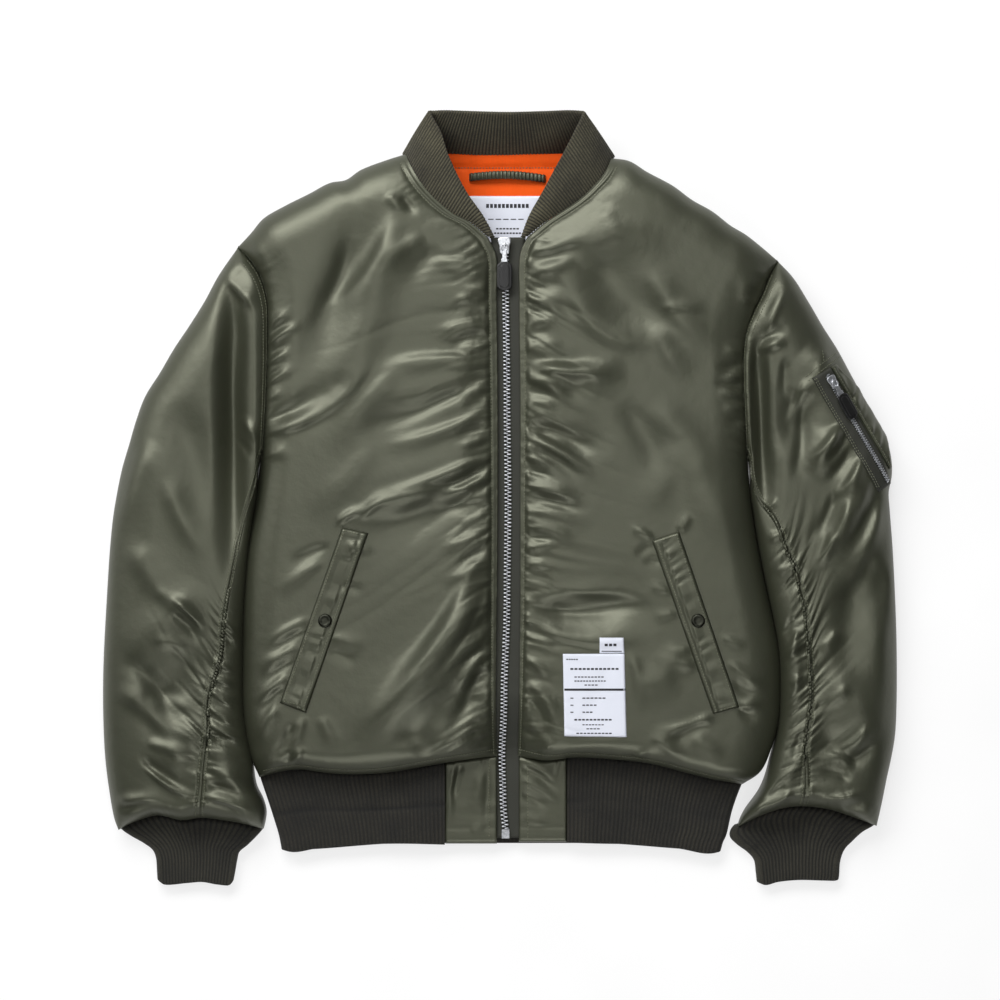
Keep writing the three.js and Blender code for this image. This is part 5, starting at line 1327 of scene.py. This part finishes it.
def repeated(name, template, places, material, body=JACKET):
    """One joined mesh of a small shape set at many places, which are 4 by 4 matrices in millimetres."""
    corner = np.array([vert.co for vert in template.verts])
    faces = [[vert.index for vert in face.verts] for face in template.faces]
    template.free()
    places = np.array(places)
    at = np.einsum("nij,vj->nvi", places[:, :3, :3], corner) + places[:, None, :3, 3]
    every = [[k + n * len(corner) for k in face] for n in range(len(places)) for face in faces]
    mesh = bpy.data.meshes.new(name)
    mesh.from_pydata((at.reshape(-1, 3) * MM).tolist(), [], every)
    mesh.shade_smooth()
    mesh.materials.append(material)
    piece = bpy.data.objects.new(name, mesh)
    bpy.context.scene.collection.objects.link(piece)
    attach(piece, body)
    return piece


def set_at(origin, along, up):
    """A matrix that puts a shape's X along a line and its Z near up, at a place."""
    x = along / np.linalg.norm(along)
    y = np.cross(up, x)
    y = y / np.linalg.norm(y)
    place = np.eye(4)
    place[:3, 0], place[:3, 1], place[:3, 2], place[:3, 3] = x, y, np.cross(x, y), origin
    return place


def block(sizes, bevel=0.0, segments=2):
    """A box about the origin with rounded edges."""
    bm = bmesh.new()
    bmesh.ops.create_cube(bm, size=1.0)
    for vert in bm.verts:
        vert.co = Vector([c * s for c, s in zip(vert.co, sizes)])
    if bevel:
        bmesh.ops.bevel(bm, geom=bm.edges[:], offset=bevel, affect="EDGES", segments=segments,
                        profile=0.5, material=-1)
    bm.verts.index_update()
    return bm


FRONT_SKIN = {side: skin_of(piece) for side, (_, piece) in FRONTS.items()}
SLEEVE_SKIN = {side: skin_of(ARMS[side][1], ARMS[side][2]) for side in ARMS}


# Facings that end the hem band at the zip

FACINGS = {
    "right": {"from": -55, "to": -3, "bottom": -346.5, "folds": [
        (-38, -266, -48, -306, -2, 3, 3, -2.4, 0), (-46, -266, -52, -330, -1, 3, 4, 1.8, 0.2),
        (-12, -266, -16, -335, 1, 3, 4, -1.0, 0), (-20, -272, -30, -318, 2, 5, 7, 1.2, 0),
        (-30, -334, -12, -328, 1, 4, 5, 0.9, 0)]},
    "left": {"from": 19, "to": 67, "bottom": -345, "folds": [
        (20, -262, 60, -286, 3, 4, 5, 2.0, 0.3), (20, -270, 58, -294, 3, 4, 5, -1.8, 0),
        (21, -282, 60, -306, 3, 4, 5, 1.9, 0.3), (21, -296, 50, -312, 2, 4, 5, -1.6, 0),
        (24, -318, 48, -328, 1, 5, 6, 1.0, 0)]},
}
FACING_THICK = 1.6


def facing(side):
    own = FACINGS[side]
    x = np.linspace(own["from"], own["to"], 34)
    top = below_seam(x)[:, 1]
    down = np.linspace(0, 1, 40)[:-1]
    turn = np.array([(6, 1), (4, 0.985), (2, 0.92), (1, 0.82), (0.4, 0.7), (0, 0.5), (0.6, 0.33)])
    y = np.concatenate([lerp(top, own["bottom"] + 6, down[:, None]),
                        np.broadcast_to(own["bottom"] + turn[:, :1], (len(turn), len(x)))])
    share = np.concatenate([np.ones(len(down)), turn[:, 1]])[:, None]
    x = np.broadcast_to(x, y.shape)
    folds = fold_field(own["folds"])(x, y)
    gathers = puckers(170 if side == "right" else 174, x, top - y, 6, 12, 0.8, 0.2)
    pressed = 0.5 * bump(y, own["bottom"] + 16, 1.2)
    relief = (1.2 * folds + gathers + 0.5 * noise(176)(y / 7) * bump(x, 0, 30)) * (share > 0.99) - pressed
    edge = 0.7 * (1 - roll(np.minimum(x - own["from"], own["to"] - x), 1.6))
    under_seam = (LAP_DROP + 0.6) * (1 - smooth(1.6, 4.5, top - y))
    z = np.maximum(share * FACING_HEIGHT + np.clip(relief, -2.2, 2.2) - edge - under_seam, 0.4)
    points = np.stack([x, y, z], axis=-1)
    piece = cloth(f"{side}_hem_facing", points, cut_of(points), (10, 12), SHELL,
                  thick=FACING_THICK)
    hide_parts(f"hem_facing_{side}")
    return piece


FACING_PIECES = {side: facing(side) for side in FACINGS}


# Front zip

ZIP_CENTRE = [(-343, 6), (-300, 3), (-260, 2), (-200, 4), (-100, 7), (0, 8), (100, 7), (262, 5)]
CHAIN_TOP = 2.2
TAPE_THICK = 0.9
CHAIN_END_Y = 251
TOOTH_PITCH = 3.8  # on one tape; a true 2.5 mm would blur at this distance


def zip_x(y):
    return between(ZIP_CENTRE, y)


def zip_height(y):
    """The face of the zip tapes, just under the edges of the fronts and the facings."""
    surface = FRONTS["right"][0]
    v = np.linspace(0, NECK_SHARE - 0.02, 200)
    edge = surface.point(1.0, v)
    low = FACING_HEIGHT - FACING_THICK - 1.6
    ys = np.concatenate([[-341, -276], edge[:, 1]])
    zs = np.concatenate([[low, low], edge[:, 2] - 3.0])
    return np.interp(y, ys, zs)


ZIP_Y = np.arange(-340.5, CHAIN_END_Y + 12, 3.0)


def zip_tape(side):
    y = np.repeat(ZIP_Y[:, None], 7, axis=1)
    middle = zip_x(ZIP_Y)[:, None]
    share = np.linspace(0, 1, 7)
    x = lerp(-9, middle - 0.5, share) if side == "right" else lerp(middle + 0.5, 25.5, share)
    ripple = 0.25 * noise(180)(y / 11)
    points = np.stack([x, y, zip_height(y) + ripple], axis=-1)
    piece = cloth(f"{side}_zip_tape", points, cut_of(points), (90, 3), TAPE, thick=TAPE_THICK)
    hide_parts(f"zip_tape_{side}")
    return piece


ZIP_TAPES = {side: zip_tape(side) for side in ("right", "left")}


def tooth(length=4.2):
    """A metal zip tooth, clamped on the tape's bead at one end and rounded where it meshes."""
    bm = block((length, 1.5, 1.9), 0.42, 2)
    for vert in bm.verts:
        if vert.co.x > 0.3 * length:
            vert.co.y *= 0.72
            vert.co.z -= 0.25
    return bm


def zip_teeth():
    places = []
    ys = np.arange(-330.5, CHAIN_END_Y - 0.5, TOOTH_PITCH / 2)
    x, z = zip_x(ys), zip_height(ys) + 0.35 + 0.95
    for k, y in enumerate(ys):
        turn = 1 if k % 2 else -1
        along = np.array([turn, 0.0, 0.0])
        places.append(set_at(np.array([x[k] - turn * 1.35, y, z[k]]), along, np.array([0.0, 0.0, 1.0])))
    piece = repeated("zip_teeth", tooth(), places, STEEL)
    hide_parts("zip_chain")
    return piece


ZIP_TEETH = zip_teeth()


# Zip pulls, in the frame of their hinges: X on the hinge, Y to the closed end, Z off the chain

HINGE_HEIGHT = 3.4
PULLS = {
    "zip": {"hinge": "front_pull_hinge", "body": "front_pull", "length": 17, "width": 13,
            "puller": 17, "tab": 45, "tab_width": 15.5},
    "pocket": {"hinge": "sleeve_pull_hinge", "body": "sleeve_pull", "length": 14, "width": 10,
               "puller": 15, "tab": 42, "tab_width": 13},
}
CHAIN_WAY = {"zip": (0.0, 1.0), "pocket": (-67.0, 113.0)}  # plan direction to the closed end


def pull_frame(name):
    joint = next(j for j in frame["joints"] if j["name"] == PULLS[name]["hinge"])
    x = -np.array(joint["axis"], float)
    way = np.array(CHAIN_WAY[name])
    way = way / np.linalg.norm(way)
    rise = -(x[0] * way[0] + x[1] * way[1]) / x[2] if abs(x[2]) > 1e-6 else 0.0
    y = np.array([way[0], way[1], rise])
    y = y / np.linalg.norm(y)
    place = np.eye(4)
    place[:3, 0], place[:3, 1], place[:3, 2] = x, y, np.cross(x, y)
    place[:3, 3] = np.array(joint["pos_m"]) / MM
    return place


def closed_grid(points):
    """A small grid of points that closes where its edges meet, as a mesh in millimetres."""
    bm = bmesh.new()
    bmesh.ops.create_grid(bm, x_segments=points.shape[1] - 1, y_segments=len(points) - 1, size=1)
    bm.verts.ensure_lookup_table()
    for vert, at in zip(bm.verts, points.reshape(-1, 3)):
        vert.co = at
    bmesh.ops.remove_doubles(bm, verts=bm.verts, dist=1e-4)
    bmesh.ops.recalc_face_normals(bm, faces=bm.faces)
    bm.verts.index_update()
    return bm


def outline_plate(stations, low, high, rounding, steps=9):
    """A plate from (y, half width) stations, its top edge rounded; closed all round."""
    y = np.array([s[0] for s in stations], float)
    half = np.array([s[1] for s in stations], float)
    middle = (low + high) / 2
    angle = np.linspace(0, 2 * math.pi, 4 * steps + 1)
    wave, lift = np.cos(angle), np.sin(angle)
    x = half[:, None] * np.sign(wave) * np.abs(wave) ** (1 - rounding)
    z = middle + (high - low) / 2 * np.sign(lift) * np.abs(lift) ** (1 - rounding)
    ends = np.ones(len(y))
    ends[[0, -1]] = 0.0
    points = np.stack([x * ends[:, None], np.broadcast_to(y[:, None], x.shape),
                       middle + (z - middle) * ends[:, None]], axis=-1)
    return closed_grid(points)


def rounded_ends(start, end, half, turn, count=6):
    """Stations of a strip whose ends are arcs: (y, half width) from start to end."""
    angle = np.linspace(0, math.pi / 2, count)
    first = [(start + turn * (1 - math.cos(a)), half * max(0.02, math.sin(a) ** 0.8)) for a in angle]
    last = [(end - turn * (1 - math.cos(a)), half * max(0.02, math.sin(a) ** 0.8)) for a in angle[::-1]]
    return first + last


def merged(*meshes):
    """Several bmeshes as one."""
    whole = bmesh.new()
    for bm in meshes:
        mesh = bpy.data.meshes.new("part")
        bm.to_mesh(mesh)
        bm.free()
        whole.from_mesh(mesh)
        bpy.data.meshes.remove(mesh)
    whole.verts.index_update()
    return whole


def moved(bm, x=0.0, y=0.0, z=0.0):
    bmesh.ops.translate(bm, verts=bm.verts, vec=(x, y, z))
    return bm


def ring_of(radius, thick, wide=1.0, steps=20, sides=8):
    """A flat ring about Z, drawn out along Y by wide."""
    a, b = np.meshgrid(np.linspace(0, 2 * math.pi, steps + 1), np.linspace(0, 2 * math.pi, sides + 1))
    spread_out = radius + thick * np.cos(b)
    return closed_grid(np.stack([spread_out * np.cos(a), wide * spread_out * np.sin(a),
                                 thick * np.sin(b)], axis=-1))


def zip_pull(name):
    own = PULLS[name]
    place = pull_frame(name)
    half, length = own["width"] / 2, own["length"]
    bottom = -HINGE_HEIGHT + 0.35
    shield = [(-length / 2, 0.02), (-length / 2 + 0.3, half * 0.62), (-length / 2 + 1.4, half * 0.74),
              (-1, half * 0.78), (2, half * 0.92), (4, half), (length / 2 - 1.4, half * 0.94),
              (length / 2 - 0.4, half * 0.6), (length / 2, 0.02)]
    plate = outline_plate(shield, bottom, bottom + 1.9, 0.55)
    bail = merged(moved(block((2.0, 5.6, 1.1), 0.45), z=-0.1), moved(block((1.9, 1.2, 2.0), 0.4), y=2.2, z=-1.0),
                  moved(block((1.9, 1.2, 2.0), 0.4), y=-2.4, z=-1.0))
    slider = repeated(f"{name}_slider_body", merged(plate, bail), [place], STEEL)
    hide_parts(f"{name}_slider")
    end = own["puller"]
    eye = moved(ring_of(3.0, 0.75, 1.15), y=-2.2)
    arm = outline_plate(rounded_ends(-end, -5.0, 2.3, 1.4), -0.7, 0.7, 0.6)
    arm_end = outline_plate(rounded_ends(-end - 3, -end + 4, 3.3, 1.2), -0.7, 0.7, 0.6)
    puller = repeated(f"{name}_puller_plate", merged(eye, arm, arm_end), [place], STEEL,
                      own["body"])
    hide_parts(f"{name}_puller")
    wide, tab_end = own["tab_width"] / 2, own["tab"]
    top_y = -end + 0.6
    body = outline_plate(rounded_ends(-tab_end, top_y, wide, 5.5, 9), -1.6, 1.3, 0.5)
    raised = outline_plate(rounded_ends(-tab_end + 2.8, top_y - 2.8, wide - 2.8, 3.6, 9), 0.6, 2.1, 0.5)
    tab = repeated(f"{name}_leather_tab", merged(body, raised), [place], LEATHER, own["body"])
    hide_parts(f"{name}_tab")
    return slider, puller, tab


PULL_PIECES = {name: zip_pull(name) for name in PULLS}


# Welts and snaps of the two slant pockets

WELTS = {
    "right": [(-157, -27), (-131, -33), (-193, -212), (-219, -202)],
    "left": [(178, -31), (151, -40), (212, -213), (238, -206)],
}
SNAPS = {"right": (-174, -120), "left": (197, -120)}
WELT_THICK = 1.9


def welt(side):
    """Its opening edge, first across, stands off the front; the other is sewn down."""
    plan = quad_plan(WELTS[side], 100, 19)
    seed = 200 if side == "right" else 206

    def relief(across, along):
        width = 24.0
        opening = 1.5 * (1 - smooth(0, 9, across))
        sewn = -0.9 * bump(across, width - 4.2, 1.1) - 0.5 * bump(across, 3.6, 0.9)
        waves = puckers(seed, along, width - 4.2 - across, 9, 16, 1.5, 0.2) * (across < width - 4.2)
        slack = 1.0 * noise(seed + 4)(along / 24 + across / 40)
        return opening + sewn + waves + slack + 0.6
    piece = laid(f"{side}_pocket_welt", plan, FRONT_SKIN[side], 0.5, SHELL, relief, WELT_THICK, 1.4)
    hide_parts(f"welt_{side}")
    return piece


WELT_PIECES = {side: welt(side) for side in WELTS}


def turned(profile, steps=28):
    """A shape turned about Z from (radius, height) points that start and end on the axis."""
    radius = np.array([p[0] for p in profile], float)[:, None]
    height = np.array([p[1] for p in profile], float)[:, None]
    angle = np.linspace(0, 2 * math.pi, steps + 1)[None]
    return closed_grid(np.stack([radius * np.cos(angle), radius * np.sin(angle),
                                 height + 0 * angle], axis=-1))


SNAP_PROFILE = [(0, 2.0), (2.4, 2.05), (3.8, 2.2), (4.4, 2.5), (5.2, 2.5), (6.1, 2.1), (6.7, 1.3), (7.0, 0.4),
                (6.8, 0), (0, -0.2)]


def snap(side):
    skin = skin_of(WELT_PIECES[side])
    x, y = SNAPS[side]
    high, normal = heights(skin, np.array([[float(x)]]), np.array([[float(y)]]))
    up = normal[0, 0]
    place = set_at(np.array([x, y, high[0, 0]]) - up * 0.3, np.cross(up, [0.0, -1.0, 0.0]), up)
    piece = repeated(f"{side}_snap_cap", turned(SNAP_PROFILE), [place], GUNMETAL)
    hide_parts(f"snap_{side}")
    return piece


SNAP_PIECES = {side: snap(side) for side in SNAPS}


# Printed patch on the left front, and the label in the neck, both with plain lines in place of words

PATCH = [(62.5, -153), (124, -153), (126, -236), (64, -235)]
PATCH_TAB = [(99, -137), (123, -137), (124, -152.6), (99, -152.6)]
PATCH_LINES = [  # x from, x to, y, height of the line, count of dashes
    (66, 78, -158.5, 1.2, 5), (70, 119, -168, 1.8, 12), (74, 104, -176, 1.1, 9),
    (74, 106, -180, 1.1, 11), (84, 98, -184, 1.1, 4), (64, 124.5, -188.6, 2.2, 1),
    (70, 73, -197, 1.0, 1), (70, 73, -204, 1.0, 1), (70, 73, -211, 1.0, 1), (82, 106, -197, 1.2, 6),
    (82, 97, -204, 1.2, 4), (82, 93, -211, 1.2, 3), (74, 112, -218.5, 1.6, 10),
    (82, 104, -223.5, 1.0, 7), (86, 100, -227.5, 1.0, 4), (76, 112, -232, 1.2, 10),
]
TAB_LINES = [(104, 117, -144, 2.4, 3), (101, 121, -150.4, 0.8, 1)]
PATCH_THICK = 0.5


def ink_lines(name, rows, skins):
    """Short strips of ink, one joined mesh."""
    meshes = []
    for x0, x1, y, high, count in rows:
        pitch = (x1 - x0) / count
        for k in range(count):
            left = x0 + k * pitch
            right = left + (pitch * 0.72 if count > 1 else pitch)
            columns = max(3, round((right - left) / 2) + 2)
            plan = quad_plan([(left, y + high / 2), (right, y + high / 2), (right, y - high / 2),
                              (left, y - high / 2)], 3, columns)
            z, normal = heights(skins, plan[..., 0], plan[..., 1])
            points = np.concatenate([plan, z[..., None]], axis=-1) + normal * 0.18
            meshes.append(grid_mesh(points, plan, (1, 1)))
    return object_from(name, merged(*meshes), INK)


def patches():
    skin = FRONT_SKIN["left"]

    def ease(across, along):
        return 0.35 * noise(230)(across / 13 + along / 29)
    main = laid("printed_patch", quad_plan(PATCH, 56, 42), skin, 0.7, LABEL, ease, PATCH_THICK, 0.5)
    tab = laid("printed_patch_tab", quad_plan(PATCH_TAB, 12, 18), skin, 0.7, LABEL, ease,
               PATCH_THICK, 0.5)
    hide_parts("front_label")
    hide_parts("front_label_tab")
    ink = ink_lines("patch_ink", PATCH_LINES + TAB_LINES, skin_of(main, tab))
    return main, tab, ink


PATCHES = patches()

BACK_SKIN_HEIGHT = SHELL_WALL


def neck():
    """Lining on the back, seen through the neck, with its label and the label's ink lines; the hanger loop on it
    is made next.
    """
    lining_plan = quad_plan([(-90, 349), (106, 349), (84, 232), (-76, 232)], 56, 76)
    x, y = lining_plan[..., 0], lining_plan[..., 1]
    fall = 0.9 * noise(240)(x / 26 + y / 60) + 0.7 * noise(241)(x / 5.5) * bump(y, 335, 7)
    seam = -1.2 * bump(y, 335, 1.1) + 1.4 * smooth(335, 343, y)
    z = BACK_SKIN_HEIGHT + SEAM_GAP + 2.2 + np.clip(fall, -1.0, 1.2) + seam
    points = np.concatenate([lining_plan, z[..., None]], axis=-1)
    lining = cloth("neck_lining_cloth", points, cut_of(points), (20, 30), LINING, thick=1.2)
    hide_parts("neck_lining")
    label = laid("neck_label_ribbon", quad_plan([(-42, 306.5), (48, 306.5), (48, 258), (-42, 258)], 24, 40),
                 skin_of(lining), 0.4, LABEL, lambda a, b: 0.3 * noise(244)(a / 21), 0.5, 0.6)
    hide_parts("neck_label")
    rows = [(-14, 30, 296.5, 4.0, 11), (-12, 26, 283, 1.0, 5), (-4, 20, 273.5, 1.5, 7),
            (-6, 22, 269, 1.5, 9)]
    ink = ink_lines("neck_label_ink", rows, skin_of(label))
    return lining, label, ink


NECK_PIECES = neck()
LOOP = {"from": (-31, 325), "to": (46, 323.5), "width": 8.4, "ridges": 20}


def hanger_loop():
    """A ruched tube of shell cloth, sewn down at both ends."""
    t = np.linspace(0, 1, LOOP["ridges"] * 8 + 1)[:, None]
    angle = np.linspace(0, 2 * math.pi, 25)[None]
    middle = lerp(np.array(LOOP["from"], float), np.array(LOOP["to"], float), t)
    middle[:, 1] += 3 * np.sin(math.pi * t[:, 0])
    beat = noise(250)(t * LOOP["ridges"] * 0.9) * 0.12
    ridge = np.abs(np.sin(math.pi * t * LOOP["ridges"] + beat)) ** 0.7
    ends = smooth(0, 0.035, t) * smooth(0, 0.035, 1 - t)
    half = LOOP["width"] / 2 * (0.86 + 0.14 * ridge)
    tall = lerp(0.7, 1.35, ends) + 0.75 * ridge * ends
    height = BACK_SKIN_HEIGHT + SEAM_GAP + 3.3 + 2.4 * np.sin(math.pi * t) + tall
    way = np.array(LOOP["to"], float) - np.array(LOOP["from"], float)
    way = way / np.linalg.norm(way)
    across = np.array([-way[1], way[0]])
    points = np.stack([middle[:, :1] + across[0] * half * np.cos(angle),
                       middle[:, 1:] + across[1] * half * np.cos(angle),
                       height + tall * np.sin(angle)], axis=-1)
    bm = grid_mesh(points, cut_of(points), (40, 6))
    bmesh.ops.remove_doubles(bm, verts=bm.verts, dist=2e-5)
    piece = object_from("hanger_loop_cloth", bm, SHELL)
    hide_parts("hanger_loop")
    return piece


LOOP_PIECE = hanger_loop()


# Zip pocket on the left sleeve

POCKET_ZIP = ((322.0, 128.0), (389.0, 15.0))


def pocket_plan(rows, columns, start, end, until=1.0):
    """Plan points beside the chain; start and end give the distance across for a share along it."""
    a, b = np.array(POCKET_ZIP[0]), np.array(POCKET_ZIP[1])
    way = (b - a) / np.linalg.norm(b - a)
    across = np.array([-way[1], way[0]])
    t = np.linspace(0, 1, rows)[:, None]
    s = np.linspace(0, 1, columns)[None]
    off = lerp(start(t), end(t), s)[..., None]
    return a + (b - a) * (until * np.broadcast_to(t, off.shape[:2]))[..., None] + across * off


def pocket():
    skin = SLEEVE_SKIN["left"]

    def tape_edge(t):
        return between([(0, 7.6), (0.75, 7), (1, 3.6)], t)

    def panel_edge(t):
        return between([(0, 15), (0.3, 24), (0.7, 24), (1, 12)], t)
    tape = laid("sleeve_zip_tape", pocket_plan(70, 14, lambda t: -14 + 0 * t, tape_edge), skin, 0.5, TAPE,
                lambda a, b: 0.4 * noise(260)(b / 17) - 0.5 * bump(a, 4.4, 1.0), 0.9, 1.0)
    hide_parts("pocket_zip_tape")

    def gathers(across, along):
        return (puckers(262, along, across - 2, 8, 22, 2.0, 0.3) + 0.9 * noise(263)(along / 19 + across / 9)
                - 0.7 * bump(across, 3.2, 1.0))
    panel = laid("sleeve_pocket_cloth", pocket_plan(84, 18, lambda t: 8.6 + 0 * t, panel_edge, 0.9), skin,
                 0.7, SHELL, gathers, 1.2, 2.2)
    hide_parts("sleeve_pocket")
    places = []
    centre = pocket_plan(104, 3, lambda t: -0.8 + 0 * t, lambda t: 0.8 + 0 * t, 0.985)
    high, normal = heights(skin_of(tape), centre[..., 0], centre[..., 1])
    points = np.concatenate([centre, high[..., None]], axis=-1)
    for k in range(4, len(points) - 2):
        turn = 1 if k % 2 else -1
        along = (points[k, 2] - points[k, 0]) * turn
        up = normal[k, 1]
        places.append(set_at(points[k, 1] + up * 1.1 - along / np.linalg.norm(along) * 0.85, along, up))
    teeth = repeated("sleeve_zip_teeth", tooth(3.0), places, STEEL)
    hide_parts("pocket_zip_chain")
    return tape, panel, teeth


POCKET_PIECES = pocket()


# Sewing: each stitch is a short pillow of thread

STITCH_PITCH = 3.1


def stitch_places(points, up, sink=0.25):
    """Places one pitch apart along a line of points."""
    run = lengths(points, 0)
    at = np.arange(STITCH_PITCH / 2, run[-1] - 0.5, STITCH_PITCH)
    spot = np.stack([np.interp(at, run, column) for column in points.T], axis=-1)
    ahead = np.stack([np.interp(at + 0.8, run, column) for column in points.T], axis=-1)
    lift = np.stack([np.interp(at, run, column) for column in up.T], axis=-1)
    made = []
    for p, q, n in zip(spot, ahead, lift):
        if np.linalg.norm(q - p) > 1e-3:
            made.append(set_at(p + n * sink, q - p, n))
    return made


def stitch_shape():
    bm = bmesh.new()
    bmesh.ops.create_icosphere(bm, subdivisions=1, radius=1.0)
    for vert in bm.verts:
        vert.co = Vector((vert.co.x * 1.25, vert.co.y * 0.5, vert.co.z * 0.4))
    bm.verts.index_update()
    return bm


def draped_line(plan, skins):
    z, normal = heights(skins, plan[:, 0], plan[:, 1])
    return np.concatenate([plan, z[:, None]], axis=-1), normal


def plan_line(points, count=240):
    return curve(points)(np.linspace(0, 1, count))


def sewing():
    lines = []
    for side, (surface, _) in FRONTS.items():
        skin = FRONT_SKIN[side]
        v = np.linspace(0.004, NECK_SHARE - 0.008, 700)
        width = surface.width(v)
        for inset in (ZIP_STITCH[side] - 0.3,):
            lines.append(draped_line(surface.plan(1 - inset / width, v), skin))
        v = np.linspace(NECK_SHARE + 0.012, 0.985, 300)
        lines.append(draped_line(surface.plan(1 - 8.8 / surface.width(v), v), skin))
        u = np.linspace(0.03, 0.985, 500)
        lines.append(draped_line(surface.plan(u, np.full_like(u, 6.8 / FRONT_LENGTH)), skin))
        corners = [np.array(c, float) for c in WELTS[side]]
        skin = skin_of(WELT_PIECES[side])
        across = (corners[1] - corners[0]) / np.linalg.norm(corners[1] - corners[0])
        down = (corners[3] - corners[0]) / np.linalg.norm(corners[3] - corners[0])
        for start, end in ((corners[1], corners[2]), (corners[0], corners[3])):
            inward = -across if start is corners[1] else across
            a, b = start + inward * (4.0 if start is corners[1] else 3.4) + down * 2, \
                end + inward * (4.0 if start is corners[1] else 3.4) - down * 2
            lines.append(draped_line(lerp(a, b, np.linspace(0, 1, 300)[:, None]), skin))
        for corner, turn in ((corners[0], 1), (corners[3], -1)):
            a, b = corner + across * 3 + down * 3 * turn, corner + across * 20 + down * 3 * turn
            lines.append(draped_line(lerp(a, b, np.linspace(0, 1, 40)[:, None]), skin))
    for side, (surface, outer, under) in ARMS.items():
        skin = SLEEVE_SKIN[side]
        v = np.linspace(0.012, 0.992, 700)
        for offset in (-3.4, 3.4):
            u = surface.seam(v) + offset / surface.width(v)
            lines.append(draped_line(surface.plan(np.maximum(u, 0.012), v), skin))
        u = np.linspace(0.05, 0.93, 360)
        for inset in (2.6, 8.0):
            lines.append(draped_line(surface.plan(u, inset / lerp(*SLEEVE_LENGTH, u)), skin))
    sleeve_skin = SLEEVE_SKIN["left"]
    for points in ([(303, 122), (322, 137), (339, 149)], [(306, 118), (324, 132), (341, 144.5)],
                   [(321, 149), (322, 138)]):
        lines.append(draped_line(plan_line(points, 80), sleeve_skin))
    tape_skin = skin_of(POCKET_PIECES[0])
    for offset in (-10.6, -12.6):
        plan = pocket_plan(200, 2, lambda t, k=offset: k + 0 * t, lambda t, k=offset: k + 0.5 + 0 * t, 0.98)
        lines.append(draped_line(plan[2:, 0], tape_skin))
    panel_skin = skin_of(POCKET_PIECES[1])
    plan = pocket_plan(200, 2, lambda t: 11.0 + 0 * t, lambda t: 11.5 + 0 * t, 0.88)
    lines.append(draped_line(plan[4:, 0], panel_skin))
    for side, piece in FACING_PIECES.items():
        x = -11.0 if side == "right" else 28.0
        plan = np.stack([np.full(120, x), np.linspace(-262, -340, 120)], axis=-1)
        lines.append(draped_line(plan, skin_of(piece)))
    x = np.linspace(-52, 58, 160)
    lines.append(draped_line(np.stack([x, np.full_like(x, 335.0)], axis=-1), skin_of(NECK_PIECES[0])))
    places = [place for points, up in lines for place in stitch_places(points, up)]
    return repeated("stitches", stitch_shape(), places, THREAD)


STITCHES = sewing()


# Materials on the CAD nodes that stay

for name, material in (("zip_bottom_box", STEEL),):
    for k in range(len(frame["nodes"][name].material_slots)):
        frame["nodes"][name].material_slots[k].material = material


# Floor, light and camera

def stage():
    bm = bmesh.new()
    bmesh.ops.create_grid(bm, x_segments=1, y_segments=1, size=15.0)
    mesh = bpy.data.meshes.new("floor")
    bm.to_mesh(mesh)
    bm.free()
    mesh.materials.append(BOARD)
    floor = bpy.data.objects.new("floor", mesh)
    mesh.transform(Matrix.Translation((0, 0, -0.0003)))
    bpy.context.scene.collection.objects.link(floor)


LIGHTS = [  # name, place, size across and along in metres, radiance
    ("top strip", (-0.8, 1.8, 1.7), 2.4, 1.0, 11.0),
    ("overhead", (0.0, 0.2, 2.7), 1.2, 1.2, 3.2),
    ("left strip", (-2.1, 0.5, 1.3), 0.8, 1.8, 2.0),
    ("right strip", (2.1, 0.7, 1.4), 0.6, 1.4, 0.5),
    ("low fill", (0.1, -1.9, 1.5), 1.6, 0.8, 5.2),
]
ROOM_LIGHT = 0.05


def lights():
    for name, place, across, along, radiance in LIGHTS:
        lamp = bpy.data.lights.new(name, "AREA")
        lamp.shape = "RECTANGLE"
        lamp.size, lamp.size_y = across, along
        lamp.energy = math.pi * across * along * radiance
        holder = bpy.data.objects.new(name, lamp)
        holder.location = place
        holder.rotation_euler = (-Vector(place)).to_track_quat("-Z", "Y").to_euler()
        bpy.context.scene.collection.objects.link(holder)
    world = bpy.data.worlds.new("soft room")
    world.use_nodes = True
    background = world.node_tree.nodes["Background"]
    background.inputs["Color"].default_value = linear("#eef1f4")
    background.inputs["Strength"].default_value = ROOM_LIGHT
    bpy.context.scene.world = world
    bpy.context.scene.view_settings.view_transform = "Standard"


LENS = 100
SENSOR = 36
VIEW_WIDTH = 1.0  # metres across the view at the jacket's middle height
MIDDLE_HEIGHT = 0.03


def camera():
    eye = bpy.data.cameras.new("camera")
    eye.lens = LENS
    eye.sensor_width = SENSOR
    eye.clip_end = 20
    holder = bpy.data.objects.new("camera", eye)
    holder.location = (0, 0, MIDDLE_HEIGHT + VIEW_WIDTH * LENS / SENSOR)
    bpy.context.scene.collection.objects.link(holder)
    bpy.context.scene.camera = holder


stage()
lights()
camera()
